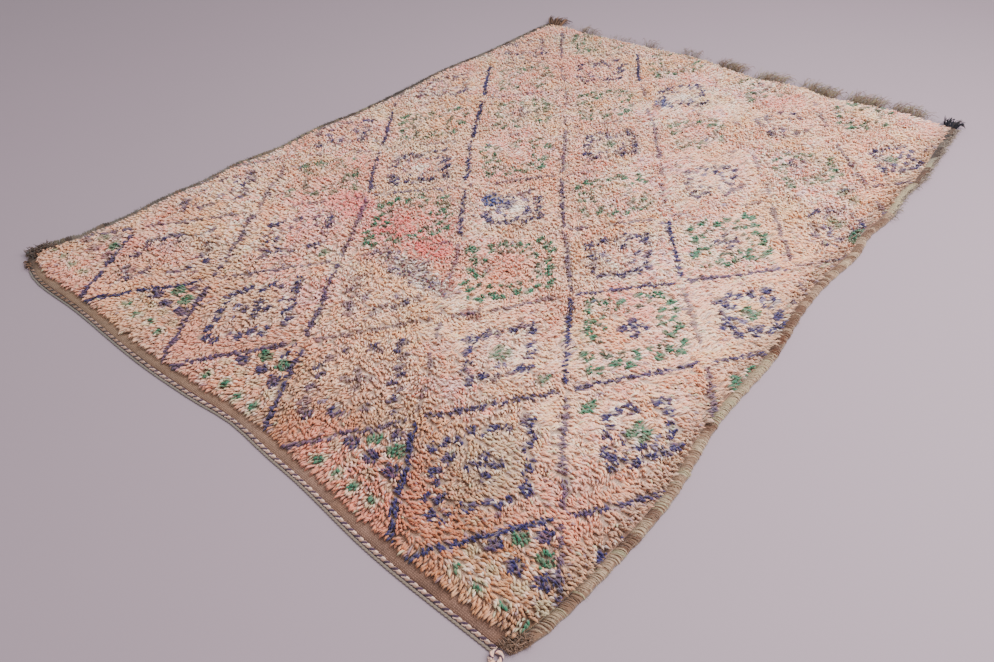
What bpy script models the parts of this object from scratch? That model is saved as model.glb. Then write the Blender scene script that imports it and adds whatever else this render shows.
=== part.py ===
"""A hand-knotted wool rug with a long, lumpy pile, lying flat.

X runs across the rug, Y from its near end to its far end and Z up. The origin lies on the
underside, in the middle of the rug. The ground cloth and its pile are one solid. The bound
sides, the twined braid and cord of the near end, the warp fringe of the far end and the
tufts and the knot at the corners are solids of their own.
"""

import math
import random
from collections import namedtuple

import bmesh
import bpy

# The rug lies about a straight-sided figure: two side lines and two end lines.
SIDE_LINE_X = 0.90
NEAR_LINE_Y = -1.27
RUG_LENGTH = 2.48
FAR_LINE_Y = NEAR_LINE_Y + RUG_LENGTH

GAP = 0.0003
GROUND_THICKNESS = 0.004
PILE_HEIGHT = 0.0198
PILE_LUMP = 0.0042
COLUMNS = 36
ROWS = 50

SELVEDGE_RIGHT_WIDTH = 0.026
SELVEDGE_RIGHT_HEIGHT = 0.0100
SELVEDGE_LEFT_WIDTH = 0.022
SELVEDGE_LEFT_HEIGHT = 0.0092
WRAP_LUMP = 0.0009

BRAID_WIDTH = 0.010
BRAID_HEIGHT = 0.0062
BRAID_TWIST = 0.0105
CORD_WIDTH = 0.0075
CORD_HEIGHT = 0.0056
CORD_STEP = 0.030
BRAID_FROM_X = -0.815
BRAID_TO_X = 0.872

STRIP_WIDTH = 0.008
STRIP_HEIGHT = 0.0035
STRIP_FROM_X = -0.800
STRIP_TO_X = 0.850
STRAND_WIDTH = 0.0050

KNOT_RADIUS = 0.0108
KNOT_TAIL = 0.026

# How far the outer edge of the rug bows out past each straight line. "along" is measured
# across the rug for the two ends, and from the near line for the two sides.
EdgePoint = namedtuple("EdgePoint", "along out")

NEAR_END = (
    EdgePoint(along=-0.90, out=0.026),
    EdgePoint(along=-0.77, out=0.050),
    EdgePoint(along=-0.56, out=0.040),
    EdgePoint(along=-0.25, out=0.037),
    EdgePoint(along=-0.03, out=0.021),
    EdgePoint(along=0.10, out=0.005),
    EdgePoint(along=0.24, out=0.010),
    EdgePoint(along=0.36, out=0.012),
    EdgePoint(along=0.60, out=0.026),
    EdgePoint(along=0.90, out=0.019),
)
FAR_END = (
    EdgePoint(along=-0.90, out=-0.035),
    EdgePoint(along=-0.80, out=-0.012),
    EdgePoint(along=-0.70, out=-0.025),
    EdgePoint(along=-0.55, out=-0.010),
    EdgePoint(along=-0.35, out=0.008),
    EdgePoint(along=-0.14, out=0.032),
    EdgePoint(along=0.00, out=0.006),
    EdgePoint(along=0.16, out=-0.014),
    EdgePoint(along=0.34, out=0.018),
    EdgePoint(along=0.46, out=-0.008),
    EdgePoint(along=0.69, out=0.026),
    EdgePoint(along=0.90, out=0.004),
)
RIGHT_SIDE = (
    EdgePoint(along=0.00, out=0.006),
    EdgePoint(along=0.04, out=0.024),
    EdgePoint(along=0.10, out=0.035),
    EdgePoint(along=0.20, out=0.045),
    EdgePoint(along=0.44, out=0.055),
    EdgePoint(along=0.69, out=0.028),
    EdgePoint(along=0.95, out=0.033),
    EdgePoint(along=1.18, out=0.012),
    EdgePoint(along=1.32, out=0.012),
    EdgePoint(along=1.51, out=0.029),
    EdgePoint(along=1.61, out=0.017),
    EdgePoint(along=1.76, out=0.033),
    EdgePoint(along=1.92, out=0.024),
    EdgePoint(along=2.05, out=0.035),
    EdgePoint(along=2.30, out=0.022),
    EdgePoint(along=2.48, out=0.012),
)
LEFT_SIDE = (
    EdgePoint(along=0.00, out=0.006),
    EdgePoint(along=0.03, out=0.010),
    EdgePoint(along=0.12, out=-0.012),
    EdgePoint(along=0.30, out=-0.021),
    EdgePoint(along=0.42, out=-0.011),
    EdgePoint(along=0.56, out=-0.016),
    EdgePoint(along=0.70, out=-0.002),
    EdgePoint(along=0.85, out=-0.021),
    EdgePoint(along=1.03, out=-0.003),
    EdgePoint(along=1.22, out=-0.018),
    EdgePoint(along=1.42, out=-0.012),
    EdgePoint(along=1.74, out=0.010),
    EdgePoint(along=1.98, out=-0.002),
    EdgePoint(along=2.38, out=0.008),
    EdgePoint(along=2.48, out=0.000),
)

# Each ring of the pile's rim: how far it is drawn in from the cloth's edge on every side,
# and how high it lies at the ends and at the sides.
Ring = namedtuple("Ring", "near right far left end_height side_height")

CLOTH_EDGE = Ring(0.0, 0.0, 0.0, 0.0, GROUND_THICKNESS, GROUND_THICKNESS)
PILE_FOOT = Ring(0.034, 0.003, 0.014, 0.003, GROUND_THICKNESS, GROUND_THICKNESS)
LOCK_NOTCH = Ring(0.032, 0.001, 0.012, 0.001, 0.0115, 0.0125)
LOCK_TIP = Ring(0.018, -0.0075, 0.004, -0.0075, 0.0085, 0.0140)
SHOULDER = Ring(0.040, 0.010, 0.020, 0.010, 0.0175, 0.0180)

# Bunches of warp ends at the far end: where each starts and ends across the rug, how far
# its strands reach, how far their tips drift to the right, and how many there are.
Bunch = namedtuple("Bunch", "start end reach drift strands")

FRINGE = (
    Bunch(start=-0.735, end=-0.630, reach=0.068, drift=0.006, strands=8),
    Bunch(start=-0.560, end=-0.440, reach=0.030, drift=0.004, strands=4),
    Bunch(start=-0.395, end=-0.325, reach=0.070, drift=-0.008, strands=5),
    Bunch(start=-0.215, end=-0.135, reach=0.058, drift=-0.006, strands=6),
    Bunch(start=-0.045, end=0.090, reach=0.080, drift=0.008, strands=9),
    Bunch(start=0.140, end=0.265, reach=0.100, drift=0.012, strands=9),
    Bunch(start=0.335, end=0.470, reach=0.095, drift=0.010, strands=10),
    Bunch(start=0.510, end=0.640, reach=0.110, drift=0.014, strands=9),
    Bunch(start=0.670, end=0.800, reach=0.100, drift=0.012, strands=9),
)

# One row for each strand of a corner tuft: its place along the head, how far its tip
# reaches out, and how far the tip drifts along.
Strand = namedtuple("Strand", "along reach drift")

FAR_RIGHT_STRANDS = (
    Strand(along=0.005, reach=0.066, drift=-0.020),
    Strand(along=0.012, reach=0.080, drift=-0.008),
    Strand(along=0.019, reach=0.072, drift=0.006),
    Strand(along=0.026, reach=0.078, drift=0.016),
    Strand(along=0.033, reach=0.062, drift=0.030),
    Strand(along=0.040, reach=0.044, drift=0.042),
)
FAR_LEFT_STRANDS = (
    Strand(along=0.006, reach=0.058, drift=-0.024),
    Strand(along=0.016, reach=0.082, drift=-0.020),
    Strand(along=0.028, reach=0.050, drift=-0.008),
    Strand(along=0.042, reach=0.064, drift=0.006),
    Strand(along=0.058, reach=0.036, drift=0.012),
)
NEAR_LEFT_STRANDS = (
    Strand(along=0.006, reach=0.016, drift=-0.016),
    Strand(along=0.016, reach=0.020, drift=-0.010),
    Strand(along=0.028, reach=0.014, drift=-0.004),
    Strand(along=0.042, reach=0.018, drift=0.006),
)


def clear_objects():
    for scene_object in list(bpy.data.objects):
        bpy.data.objects.remove(scene_object, do_unlink=True)


def wool(name, colour, roughness=0.95):
    material = bpy.data.materials.new(name)
    material.use_nodes = True
    shader = material.node_tree.nodes["Principled BSDF"]
    shader.inputs["Base Color"].default_value = (*colour, 1.0)
    shader.inputs["Roughness"].default_value = roughness
    shader.inputs["Metallic"].default_value = 0.0
    return material


def add_solid(name, mesh, material):
    """Turns a closed bmesh into an object, with its faces facing out."""
    bmesh.ops.recalc_face_normals(mesh, faces=mesh.faces)
    data = bpy.data.meshes.new(name)
    mesh.to_mesh(data)
    mesh.free()
    data.materials.append(material)
    solid = bpy.data.objects.new(name, data)
    bpy.context.scene.collection.objects.link(solid)
    return solid


def mix(first, second, share):
    return first + (second - first) * share


def smooth_out(table, along):
    """Height of the smooth curve through a table's points at one place."""
    last = len(table) - 1
    along = min(max(along, table[0].along), table[last].along)
    i = 0
    while i < last - 1 and along > table[i + 1].along:
        i += 1

    def slope(k):
        before = table[max(k - 1, 0)]
        after = table[min(k + 1, last)]
        return (after.out - before.out) / (after.along - before.along)

    start = table[i]
    end = table[i + 1]
    span = end.along - start.along
    t = (along - start.along) / span
    rise = 3 * t**2 - 2 * t**3
    lead = (t**3 - 2 * t**2 + t) * slope(i) * span
    trail = (t**3 - t**2) * slope(i + 1) * span
    return mix(start.out, end.out, rise) + lead + trail


def cloth_point(a, b, ring):
    """Place on the cloth at shares a across and b along, inside a ring of the rim."""
    x_nominal = mix(-SIDE_LINE_X, SIDE_LINE_X, a)
    near = NEAR_LINE_Y - smooth_out(NEAR_END, x_nominal) + BRAID_WIDTH + CORD_WIDTH + 2 * GAP
    far = FAR_LINE_Y + smooth_out(FAR_END, x_nominal)
    y = mix(near + ring.near, far - ring.far, b)
    along = y - NEAR_LINE_Y
    left = -SIDE_LINE_X - smooth_out(LEFT_SIDE, along) + SELVEDGE_LEFT_WIDTH + GAP
    right = SIDE_LINE_X + smooth_out(RIGHT_SIDE, along) - SELVEDGE_RIGHT_WIDTH - GAP
    return mix(left + ring.left, right - ring.right, a), y


def rim_places():
    """Shares (a, b, side) of the grid's outer points, in order around the rug."""
    places = [(i / COLUMNS, 0.0, "end") for i in range(COLUMNS)]
    places += [(1.0, j / ROWS, "side") for j in range(ROWS)]
    places += [(1.0 - i / COLUMNS, 1.0, "end") for i in range(COLUMNS)]
    places += [(0.0, 1.0 - j / ROWS, "side") for j in range(ROWS)]
    return places


def ring_height(ring, side):
    return ring.end_height if side == "end" else ring.side_height


def lock_tips(mesh, places, chance):
    """One drooping lock between each two points of the rim."""
    tips = []
    for k, (a, b, side) in enumerate(places):
        a_next, b_next, _ = places[(k + 1) % len(places)]
        a_tip = mix(a, a_next, 0.5 + chance.uniform(-0.12, 0.12))
        b_tip = mix(b, b_next, 0.5 + chance.uniform(-0.12, 0.12))
        x, y = cloth_point(a_tip, b_tip, LOCK_TIP)
        x_foot, y_foot = cloth_point(a_tip, b_tip, PILE_FOOT)
        reach = chance.uniform(0.70, 1.0)
        droop = chance.uniform(0.0, 0.0015)
        height = ring_height(LOCK_TIP, side) + droop
        tips.append(mesh.verts.new((mix(x_foot, x, reach), mix(y_foot, y, reach), height)))
    return tips


def rug_body(material):
    """The ground cloth with the pile on it, as a lumpy slab with locks at its rim."""
    chance = random.Random(11)
    mesh = bmesh.new()
    places = rim_places()

    def ring_verts(ring, height=None):
        verts = []
        for a, b, side in places:
            x, y = cloth_point(a, b, ring)
            z = ring_height(ring, side) if height is None else height
            verts.append(mesh.verts.new((x, y, z)))
        return verts

    underside = ring_verts(CLOTH_EDGE, height=0.0)
    edge = ring_verts(CLOTH_EDGE)
    foot = ring_verts(PILE_FOOT)
    notch = ring_verts(LOCK_NOTCH)
    tips = lock_tips(mesh, places, chance)
    shoulder = ring_verts(SHOULDER)
    for vert in shoulder:
        vert.co.z += chance.uniform(-0.0015, 0.0015)

    count = len(places)
    mesh.faces.new(list(reversed(underside)))
    for k in range(count):
        n = (k + 1) % count
        mesh.faces.new((underside[k], underside[n], edge[n], edge[k]))
        mesh.faces.new((edge[k], edge[n], foot[n], foot[k]))
        mesh.faces.new((foot[k], foot[n], tips[k]))
        mesh.faces.new((foot[k], tips[k], notch[k]))
        mesh.faces.new((foot[n], notch[n], tips[k]))
        mesh.faces.new((notch[k], tips[k], shoulder[k]))
        mesh.faces.new((tips[k], shoulder[n], shoulder[k]))
        mesh.faces.new((tips[k], notch[n], shoulder[n]))

    top = {}
    for k, (a, b, _) in enumerate(places):
        top[round(a * COLUMNS), round(b * ROWS)] = shoulder[k]
    for i in range(1, COLUMNS):
        for j in range(1, ROWS):
            a = (i + chance.uniform(-0.26, 0.26)) / COLUMNS
            b = (j + chance.uniform(-0.26, 0.26)) / ROWS
            x, y = cloth_point(a, b, SHOULDER)
            z = PILE_HEIGHT + chance.uniform(-PILE_LUMP, PILE_LUMP)
            top[i, j] = mesh.verts.new((x, y, z))
    for i in range(COLUMNS):
        for j in range(ROWS):
            mesh.faces.new((top[i, j], top[i + 1, j], top[i + 1, j + 1], top[i, j + 1]))
    bmesh.ops.triangulate(mesh, faces=[face for face in mesh.faces if len(face.verts) == 4])
    return add_solid("rug_body", mesh, material)


def on_line(line, x):
    """The y of a broken line of (x, y) points, which runs along x."""
    for (x0, y0), (x1, y1) in zip(line, line[1:]):
        if x0 <= x <= x1:
            return mix(y0, y1, (x - x0) / (x1 - x0))
    return line[0][1] if x < line[0][0] else line[-1][1]


def near_line():
    return [cloth_point(i / COLUMNS, 0.0, CLOTH_EDGE) for i in range(COLUMNS + 1)]


def far_line():
    return [cloth_point(i / COLUMNS, 1.0, CLOTH_EDGE) for i in range(COLUMNS + 1)]


def sweep(name, sections, material):
    """A closed solid through a row of like sections, each a list of points."""
    mesh = bmesh.new()
    rings = [[mesh.verts.new(point) for point in section] for section in sections]
    for ring, following in zip(rings, rings[1:]):
        for k in range(len(ring)):
            n = (k + 1) % len(ring)
            mesh.faces.new((ring[k], ring[n], following[n], following[k]))
    mesh.faces.new(rings[0])
    mesh.faces.new(rings[-1])
    return add_solid(name, mesh, material)


def selvedge(name, a, direction, width, height, material):
    """A side bound with overcast yarn: a roll along the cloth's edge, lumpy with its wraps."""
    chance = random.Random(23 + int(a))
    sections = []
    for k in range(2 * ROWS + 1):
        start = cloth_point(a, (k // 2) / ROWS, CLOTH_EDGE)
        end = cloth_point(a, min(k // 2 + 1, ROWS) / ROWS, CLOTH_EDGE)
        share = 0.5 * (k % 2)
        x = mix(start[0], end[0], share) + direction * GAP
        y = mix(start[1], end[1], share)
        lump = WRAP_LUMP * (1 if k % 2 else -1) + chance.uniform(-0.5, 0.5) * WRAP_LUMP
        high = height + 0.5 * lump
        wide = width + 1.5 * lump
        profile = (
            (0.0, 0.0),
            (wide - 0.002, 0.0),
            (wide, 0.42 * high),
            (0.74 * wide, 0.92 * high),
            (0.38 * wide, high),
            (0.0, 0.50 * height),
        )
        sections.append([(x + direction * out, y, up) for out, up in profile])
    return sweep(name, sections, material)


def near_braid(material):
    """The twined braid of the near end, raised at each crossing of its two yarns."""
    line = near_line()
    steps = round((BRAID_TO_X - BRAID_FROM_X) / BRAID_TWIST)
    sections = []
    for k in range(steps + 1):
        x = mix(BRAID_FROM_X, BRAID_TO_X, k / steps)
        y = on_line(line, x) - GAP
        crest = BRAID_HEIGHT if k % 2 else 0.80 * BRAID_HEIGHT
        peak = 0.62 if k % 2 else 0.38
        profile = (
            (0.0, 0.0),
            (BRAID_WIDTH, 0.0),
            (BRAID_WIDTH, 0.55 * crest),
            (peak * BRAID_WIDTH, crest),
            (0.0, 0.60 * crest),
        )
        sections.append([(x, y - out, up) for out, up in profile])
    return sweep("near_braid", sections, material)


def near_cord(material):
    """The plain cord that runs outside the braid."""
    chance = random.Random(31)
    line = near_line()
    steps = round((BRAID_TO_X - BRAID_FROM_X) / CORD_STEP)
    places = [mix(BRAID_FROM_X, BRAID_TO_X, k / steps) for k in range(steps + 1)]
    places += [x for x, _ in line if BRAID_FROM_X + 0.004 < x < BRAID_TO_X - 0.004]
    sections = []
    for x in sorted(places):
        y = on_line(line, x) - 2 * GAP - BRAID_WIDTH
        wide = CORD_WIDTH + chance.uniform(-0.0006, 0.0006)
        profile = (
            (0.0, 0.0),
            (wide - 0.001, 0.0),
            (wide, 0.45 * CORD_HEIGHT),
            (0.55 * wide, CORD_HEIGHT),
            (0.0, 0.60 * CORD_HEIGHT),
        )
        sections.append([(x, y - out, up) for out, up in profile])
    return sweep("near_cord", sections, material)


def stranded_head(name, line, outward, width, height, strands, material):
    """A narrow head along a line, with strands that lie level from its outer face.

    line holds the head's inner edge as (x, y) points from left to right, outward is the
    Y direction of its outer face, and each strand is (x, reach, drift).
    """
    mesh = bmesh.new()
    half = STRAND_WIDTH / 2
    breaks = [(x, None) for x, _ in line]
    for index, (x, _, _) in enumerate(strands):
        breaks = [item for item in breaks if item[1] is not None or abs(item[0] - x) > 1.5 * half]
        breaks += [(x - half, index), (x + half, index)]
    breaks = sorted(breaks)
    if breaks[0][1] is not None:
        breaks.insert(0, (line[0][0], None))
    if breaks[-1][1] is not None:
        breaks.append((line[-1][0], None))
    columns = []
    for x, _ in breaks:
        y = on_line(line, x)
        corners = ((0.0, 0.0), (width, 0.0), (width, height), (0.0, height))
        columns.append([mesh.verts.new((x, y + outward * out, up)) for out, up in corners])
    mesh.faces.new(columns[0])
    mesh.faces.new(columns[-1])
    for k in range(len(columns) - 1):
        here = columns[k]
        there = columns[k + 1]
        mesh.faces.new((here[0], here[1], there[1], there[0]))
        mesh.faces.new((here[2], here[3], there[3], there[2]))
        mesh.faces.new((here[3], here[0], there[0], there[3]))
        strand_of = breaks[k][1]
        if strand_of is None or strand_of != breaks[k + 1][1]:
            mesh.faces.new((here[1], here[2], there[2], there[1]))
            continue
        x, reach, drift = strands[strand_of]
        y = on_line(line, x) + outward * width
        bend_x = x + 0.30 * drift
        bend_y = y + outward * 0.50 * reach
        up = 0.75 * STRIP_HEIGHT
        bend = [
            mesh.verts.new((bend_x - 0.8 * half, bend_y, 0.0)),
            mesh.verts.new((bend_x - 0.6 * half, bend_y, up)),
            mesh.verts.new((bend_x + 0.6 * half, bend_y, up)),
            mesh.verts.new((bend_x + 0.8 * half, bend_y, 0.0)),
        ]
        root = [here[1], here[2], there[2], there[1]]
        tip = mesh.verts.new((x + drift, y + outward * reach, 0.0))
        for m in range(4):
            n = (m + 1) % 4
            mesh.faces.new((root[m], root[n], bend[n], bend[m]))
            mesh.faces.new((bend[m], bend[n], tip))
    return add_solid(name, mesh, material)


def far_fringe(material):
    """The warp ends of the far end, in uneven bunches on a narrow strip."""
    chance = random.Random(47)
    inner = [(x, y + GAP) for x, y in far_line() if STRIP_FROM_X < x < STRIP_TO_X]
    line = [(STRIP_FROM_X, on_line(far_line(), STRIP_FROM_X) + GAP)]
    line += inner
    line += [(STRIP_TO_X, on_line(far_line(), STRIP_TO_X) + GAP)]
    strands = []
    for bunch in FRINGE:
        for k in range(bunch.strands):
            x = mix(bunch.start, bunch.end, (k + 0.5) / bunch.strands)
            reach = bunch.reach * chance.uniform(0.72, 1.0)
            drift = bunch.drift + chance.uniform(-0.0022, 0.0022)
            strands.append((x, reach, drift))
    return stranded_head("fringe_far", line, 1, STRIP_WIDTH, STRIP_HEIGHT, strands, material)


def corner_tuft(name, from_x, to_x, edge, outward, width, height, table, material):
    """A bundle of yarn ends tied at a corner, on a short head along the cloth's edge."""
    steps = 4
    line = []
    for k in range(steps + 1):
        x = mix(from_x, to_x, k / steps)
        line.append((x, on_line(edge, x) + outward * GAP))
    strands = [(from_x + row.along, row.reach, row.drift) for row in table]
    return stranded_head(name, line, outward, width, height, strands, material)


def corner_knot(material):
    """The end of the braid, turned back on itself as a small loop with a short tail."""
    around = 12
    tail_at = 9
    thick = BRAID_WIDTH / 2
    height = 1.15 * BRAID_HEIGHT
    profile = (
        (thick, 0.42 * height),
        (0.62 * thick, height),
        (-0.62 * thick, height),
        (-thick, 0.42 * height),
        (-0.6 * thick, 0.0),
        (0.6 * thick, 0.0),
    )
    centre_x = BRAID_TO_X + GAP + KNOT_RADIUS + thick
    centre_y = on_line(near_line(), centre_x) - GAP - KNOT_RADIUS - thick
    mesh = bmesh.new()
    rings = []
    for k in range(around):
        angle = 2 * math.pi * (k + 0.5) / around
        ring = []
        for out, up in profile:
            radius = KNOT_RADIUS + out
            x = centre_x + radius * math.cos(angle)
            y = centre_y + radius * math.sin(angle)
            ring.append(mesh.verts.new((x, y, up)))
        rings.append(ring)
    for k in range(around):
        ring = rings[k]
        following = rings[(k + 1) % around]
        for m in range(len(profile)):
            n = (m + 1) % len(profile)
            if k == tail_at and n == 0:
                continue
            mesh.faces.new((ring[m], ring[n], following[n], following[m]))
    ring = rings[tail_at]
    following = rings[tail_at + 1]
    angle = 2 * math.pi * (tail_at + 1) / around
    tip_x = centre_x + (KNOT_RADIUS + thick + KNOT_TAIL) * math.cos(angle)
    tip_y = centre_y + (KNOT_RADIUS + thick + KNOT_TAIL) * math.sin(angle)
    root = [ring[5], ring[0], following[0], following[5]]
    tip = mesh.verts.new((tip_x + 0.004, tip_y, 0.0))
    for m in range(4):
        mesh.faces.new((root[m], root[(m + 1) % 4], tip))
    return add_solid("corner_knot_near_right", mesh, material)


def build():
    clear_objects()
    rug_body(wool("peach wool pile", (0.62, 0.44, 0.31)))
    bound = wool("grey brown overcast wool", (0.26, 0.20, 0.14))
    selvedge("selvedge_right", 1.0, 1, SELVEDGE_RIGHT_WIDTH, SELVEDGE_RIGHT_HEIGHT, bound)
    felted = wool("dark grey felted wool", (0.10, 0.08, 0.065))
    selvedge("selvedge_left", 0.0, -1, SELVEDGE_LEFT_WIDTH, SELVEDGE_LEFT_HEIGHT, felted)
    near_braid(wool("pink and purple twined wool", (0.36, 0.20, 0.24)))
    near_cord(wool("grey beige cord", (0.33, 0.28, 0.22)))
    far_fringe(wool("grey beige warp yarn", (0.30, 0.25, 0.19)))
    dark = wool("near black blue yarn", (0.012, 0.012, 0.022))
    corner_tuft("tuft_far_right", 0.8600, 0.9060, far_line(), 1, 0.010, 0.008, FAR_RIGHT_STRANDS, dark)
    brown = wool("dark brown yarn", (0.045, 0.030, 0.024))
    corner_tuft("tuft_far_left", -0.8980, -0.8320, far_line(), 1, 0.012, 0.009, FAR_LEFT_STRANDS, brown)
    corner_tuft("tuft_near_left", -0.8700, -0.8200, near_line(), -1, 0.016, 0.009, NEAR_LEFT_STRANDS, brown)
    corner_knot(wool("cream and purple knot", (0.42, 0.28, 0.28)))


build()
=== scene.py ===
"""Dresses a hand-knotted wool rug: ground cloth, long pile, bound sides, braid, fringe and tufts.

The file is laid out as an add-on. Sizes and colours are properties, each piece or group of
like pieces has its operator, and main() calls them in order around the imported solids.
"""

import math
from collections import namedtuple

import bmesh
import bpy
import numpy as np
from bpy.props import FloatProperty, FloatVectorProperty, PointerProperty
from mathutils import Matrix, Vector


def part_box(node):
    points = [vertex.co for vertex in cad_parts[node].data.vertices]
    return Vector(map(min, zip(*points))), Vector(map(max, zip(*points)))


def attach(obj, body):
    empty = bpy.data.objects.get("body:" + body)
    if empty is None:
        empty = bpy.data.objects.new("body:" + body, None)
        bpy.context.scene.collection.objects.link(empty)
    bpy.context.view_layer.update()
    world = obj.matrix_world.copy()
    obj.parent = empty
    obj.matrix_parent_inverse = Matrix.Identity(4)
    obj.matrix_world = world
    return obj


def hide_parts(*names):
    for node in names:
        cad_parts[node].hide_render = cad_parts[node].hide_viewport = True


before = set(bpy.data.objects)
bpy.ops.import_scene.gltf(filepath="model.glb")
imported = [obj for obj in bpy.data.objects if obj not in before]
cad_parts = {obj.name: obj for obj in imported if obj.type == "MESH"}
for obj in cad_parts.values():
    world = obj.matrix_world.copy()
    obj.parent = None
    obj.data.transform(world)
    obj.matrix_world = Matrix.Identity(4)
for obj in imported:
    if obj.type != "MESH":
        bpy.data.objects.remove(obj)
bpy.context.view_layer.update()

bl_info = {
    "name": "Moroccan rug",
    "version": (1, 0, 0),
    "blender": (4, 5, 0),
    "location": "3D View > Sidebar > Rug",
    "description": "Builds a hand-knotted wool rug with a long pile and a diamond lattice",
    "category": "Object",
}

BODY = "root"
STRIPS = 5

# The lattice. Columns count across from a first diagonal, rows count up
# from the near end, and each row's height is measured from the straight near line.
NEAR_LINE_Y = -1.27
COLUMN_START = -0.764
COLUMN_STEP = 0.1975
ROW_HEIGHTS = (-0.02, 0.262, 0.543, 0.829, 1.064, 1.314, 1.60, 1.87, 2.10, 2.38, 2.65)

# One digit for each row that a line crosses says how strong its dye is there, 0 to 9.
Line = namedtuple("Line", "number strengths")

FALLING_LINES = (
    Line(1, "8"),
    Line(3, "763"),
    Line(5, "875884"),
    Line(7, "9438999"),
    Line(9, "669675335"),
    Line(11, "005392549"),
    Line(13, "000034222"),
    Line(15, "000000353"),
    Line(17, "000000002"),
)
RISING_LINES = (
    Line(7, "98"),
    Line(5, "6888"),
    Line(3, "734873"),
    Line(1, "95425225"),
    Line(-1, "65265211"),
    Line(-3, "00333221"),
    Line(-5, "00000241"),
    Line(-7, "000000022"),
)

# Each lozenge: its place in the lattice, the dye of its ring, how strong it is, how far out
# the ring lies as a share of the lozenge, and the dyes of its centre and of the yarn inside.
Cell = namedtuple("Cell", "column row dye strength reach centre inside")

CELLS = (
    Cell(1, 1, "indigo", 0.40, 0.55, "", ""),
    Cell(3, 1, "indigo", 0.95, 0.54, "indigo", "beige"),
    Cell(5, 1, "indigo", 0.55, 0.56, "indigo", "beige"),
    Cell(7, 1, "indigo", 1.00, 0.56, "indigo", "sage"),
    Cell(9, 1, "indigo", 0.85, 0.50, "", ""),
    Cell(0, 2, "indigo", 0.40, 0.50, "", ""),
    Cell(2, 2, "indigo", 0.55, 0.50, "", ""),
    Cell(4, 2, "indigo", 0.25, 0.50, "", ""),
    Cell(6, 2, "indigo", 0.70, 0.45, "green", "pale"),
    Cell(8, 2, "indigo", 0.85, 0.42, "green", ""),
    Cell(1, 3, "green", 0.40, 0.60, "", ""),
    Cell(3, 3, "green", 0.90, 0.66, "", "pink"),
    Cell(5, 3, "green", 0.90, 0.66, "", "peach"),
    Cell(7, 3, "green", 1.00, 0.70, "indigo", "peach"),
    Cell(9, 3, "green", 0.95, 0.60, "", ""),
    Cell(0, 4, "indigo", 0.45, 0.50, "", ""),
    Cell(2, 4, "indigo", 0.60, 0.55, "pale", ""),
    Cell(4, 4, "indigo", 0.75, 0.50, "pale", "pale"),
    Cell(6, 4, "indigo", 0.75, 0.50, "", "pale"),
    Cell(8, 4, "indigo", 0.85, 0.45, "green", ""),
    Cell(1, 5, "green", 0.60, 0.60, "", ""),
    Cell(3, 5, "green", 0.65, 0.60, "", ""),
    Cell(5, 5, "green", 0.60, 0.60, "", ""),
    Cell(7, 5, "green", 0.80, 0.60, "indigo", "sage"),
    Cell(9, 5, "green", 0.70, 0.55, "indigo", ""),
    Cell(0, 6, "indigo", 0.40, 0.50, "", ""),
    Cell(2, 6, "green", 0.50, 0.55, "indigo", "sage"),
    Cell(4, 6, "indigo", 0.55, 0.50, "green", "pale"),
    Cell(6, 6, "indigo", 0.50, 0.45, "", "pale"),
    Cell(8, 6, "indigo", 0.40, 0.42, "green", ""),
    Cell(1, 7, "green", 0.35, 0.60, "", ""),
    Cell(3, 7, "green", 0.60, 0.60, "", ""),
    Cell(5, 7, "green", 0.40, 0.55, "", ""),
    Cell(7, 7, "green", 0.45, 0.55, "", ""),
    Cell(0, 8, "indigo", 0.40, 0.50, "", ""),
    Cell(2, 8, "indigo", 0.60, 0.55, "", ""),
    Cell(4, 8, "indigo", 0.65, 0.50, "pale", "pale"),
    Cell(6, 8, "indigo", 0.45, 0.45, "", "pale"),
    Cell(8, 8, "indigo", 0.65, 0.42, "green", ""),
    Cell(1, 9, "green", 0.45, 0.60, "", ""),
    Cell(3, 9, "green", 0.55, 0.60, "", ""),
    Cell(5, 9, "green", 0.35, 0.50, "indigo", ""),
    Cell(7, 9, "green", 0.60, 0.55, "", ""),
)

# Rows of small marks in the triangles along the near end, from the top of each downwards.
MarkRow = namedtuple("MarkRow", "height dye count spacing size strength")

TRIANGLE_ROWS = (
    MarkRow(0.205, "indigo", 1, 0.0, 0.016, 1.0),
    MarkRow(0.172, "green", 2, 0.060, 0.0195, 1.0),
    MarkRow(0.130, "indigo", 3, 0.060, 0.0190, 1.0),
    MarkRow(0.098, "sage", 4, 0.056, 0.015, 0.50),
    MarkRow(0.052, "sage", 4, 0.056, 0.018, 0.65),
    MarkRow(0.052, "green", 4, 0.056, 0.010, 1.0),
)
TRIANGLE_STRENGTHS = {0: 0.6, 2: 0.9, 4: 0.95, 6: 0.95, 8: 1.0}

# Single marks, and places where the dyes have bled or the pile has felted.
Patch = namedtuple("Patch", "x along radius_x radius_y dye strength")

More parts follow.
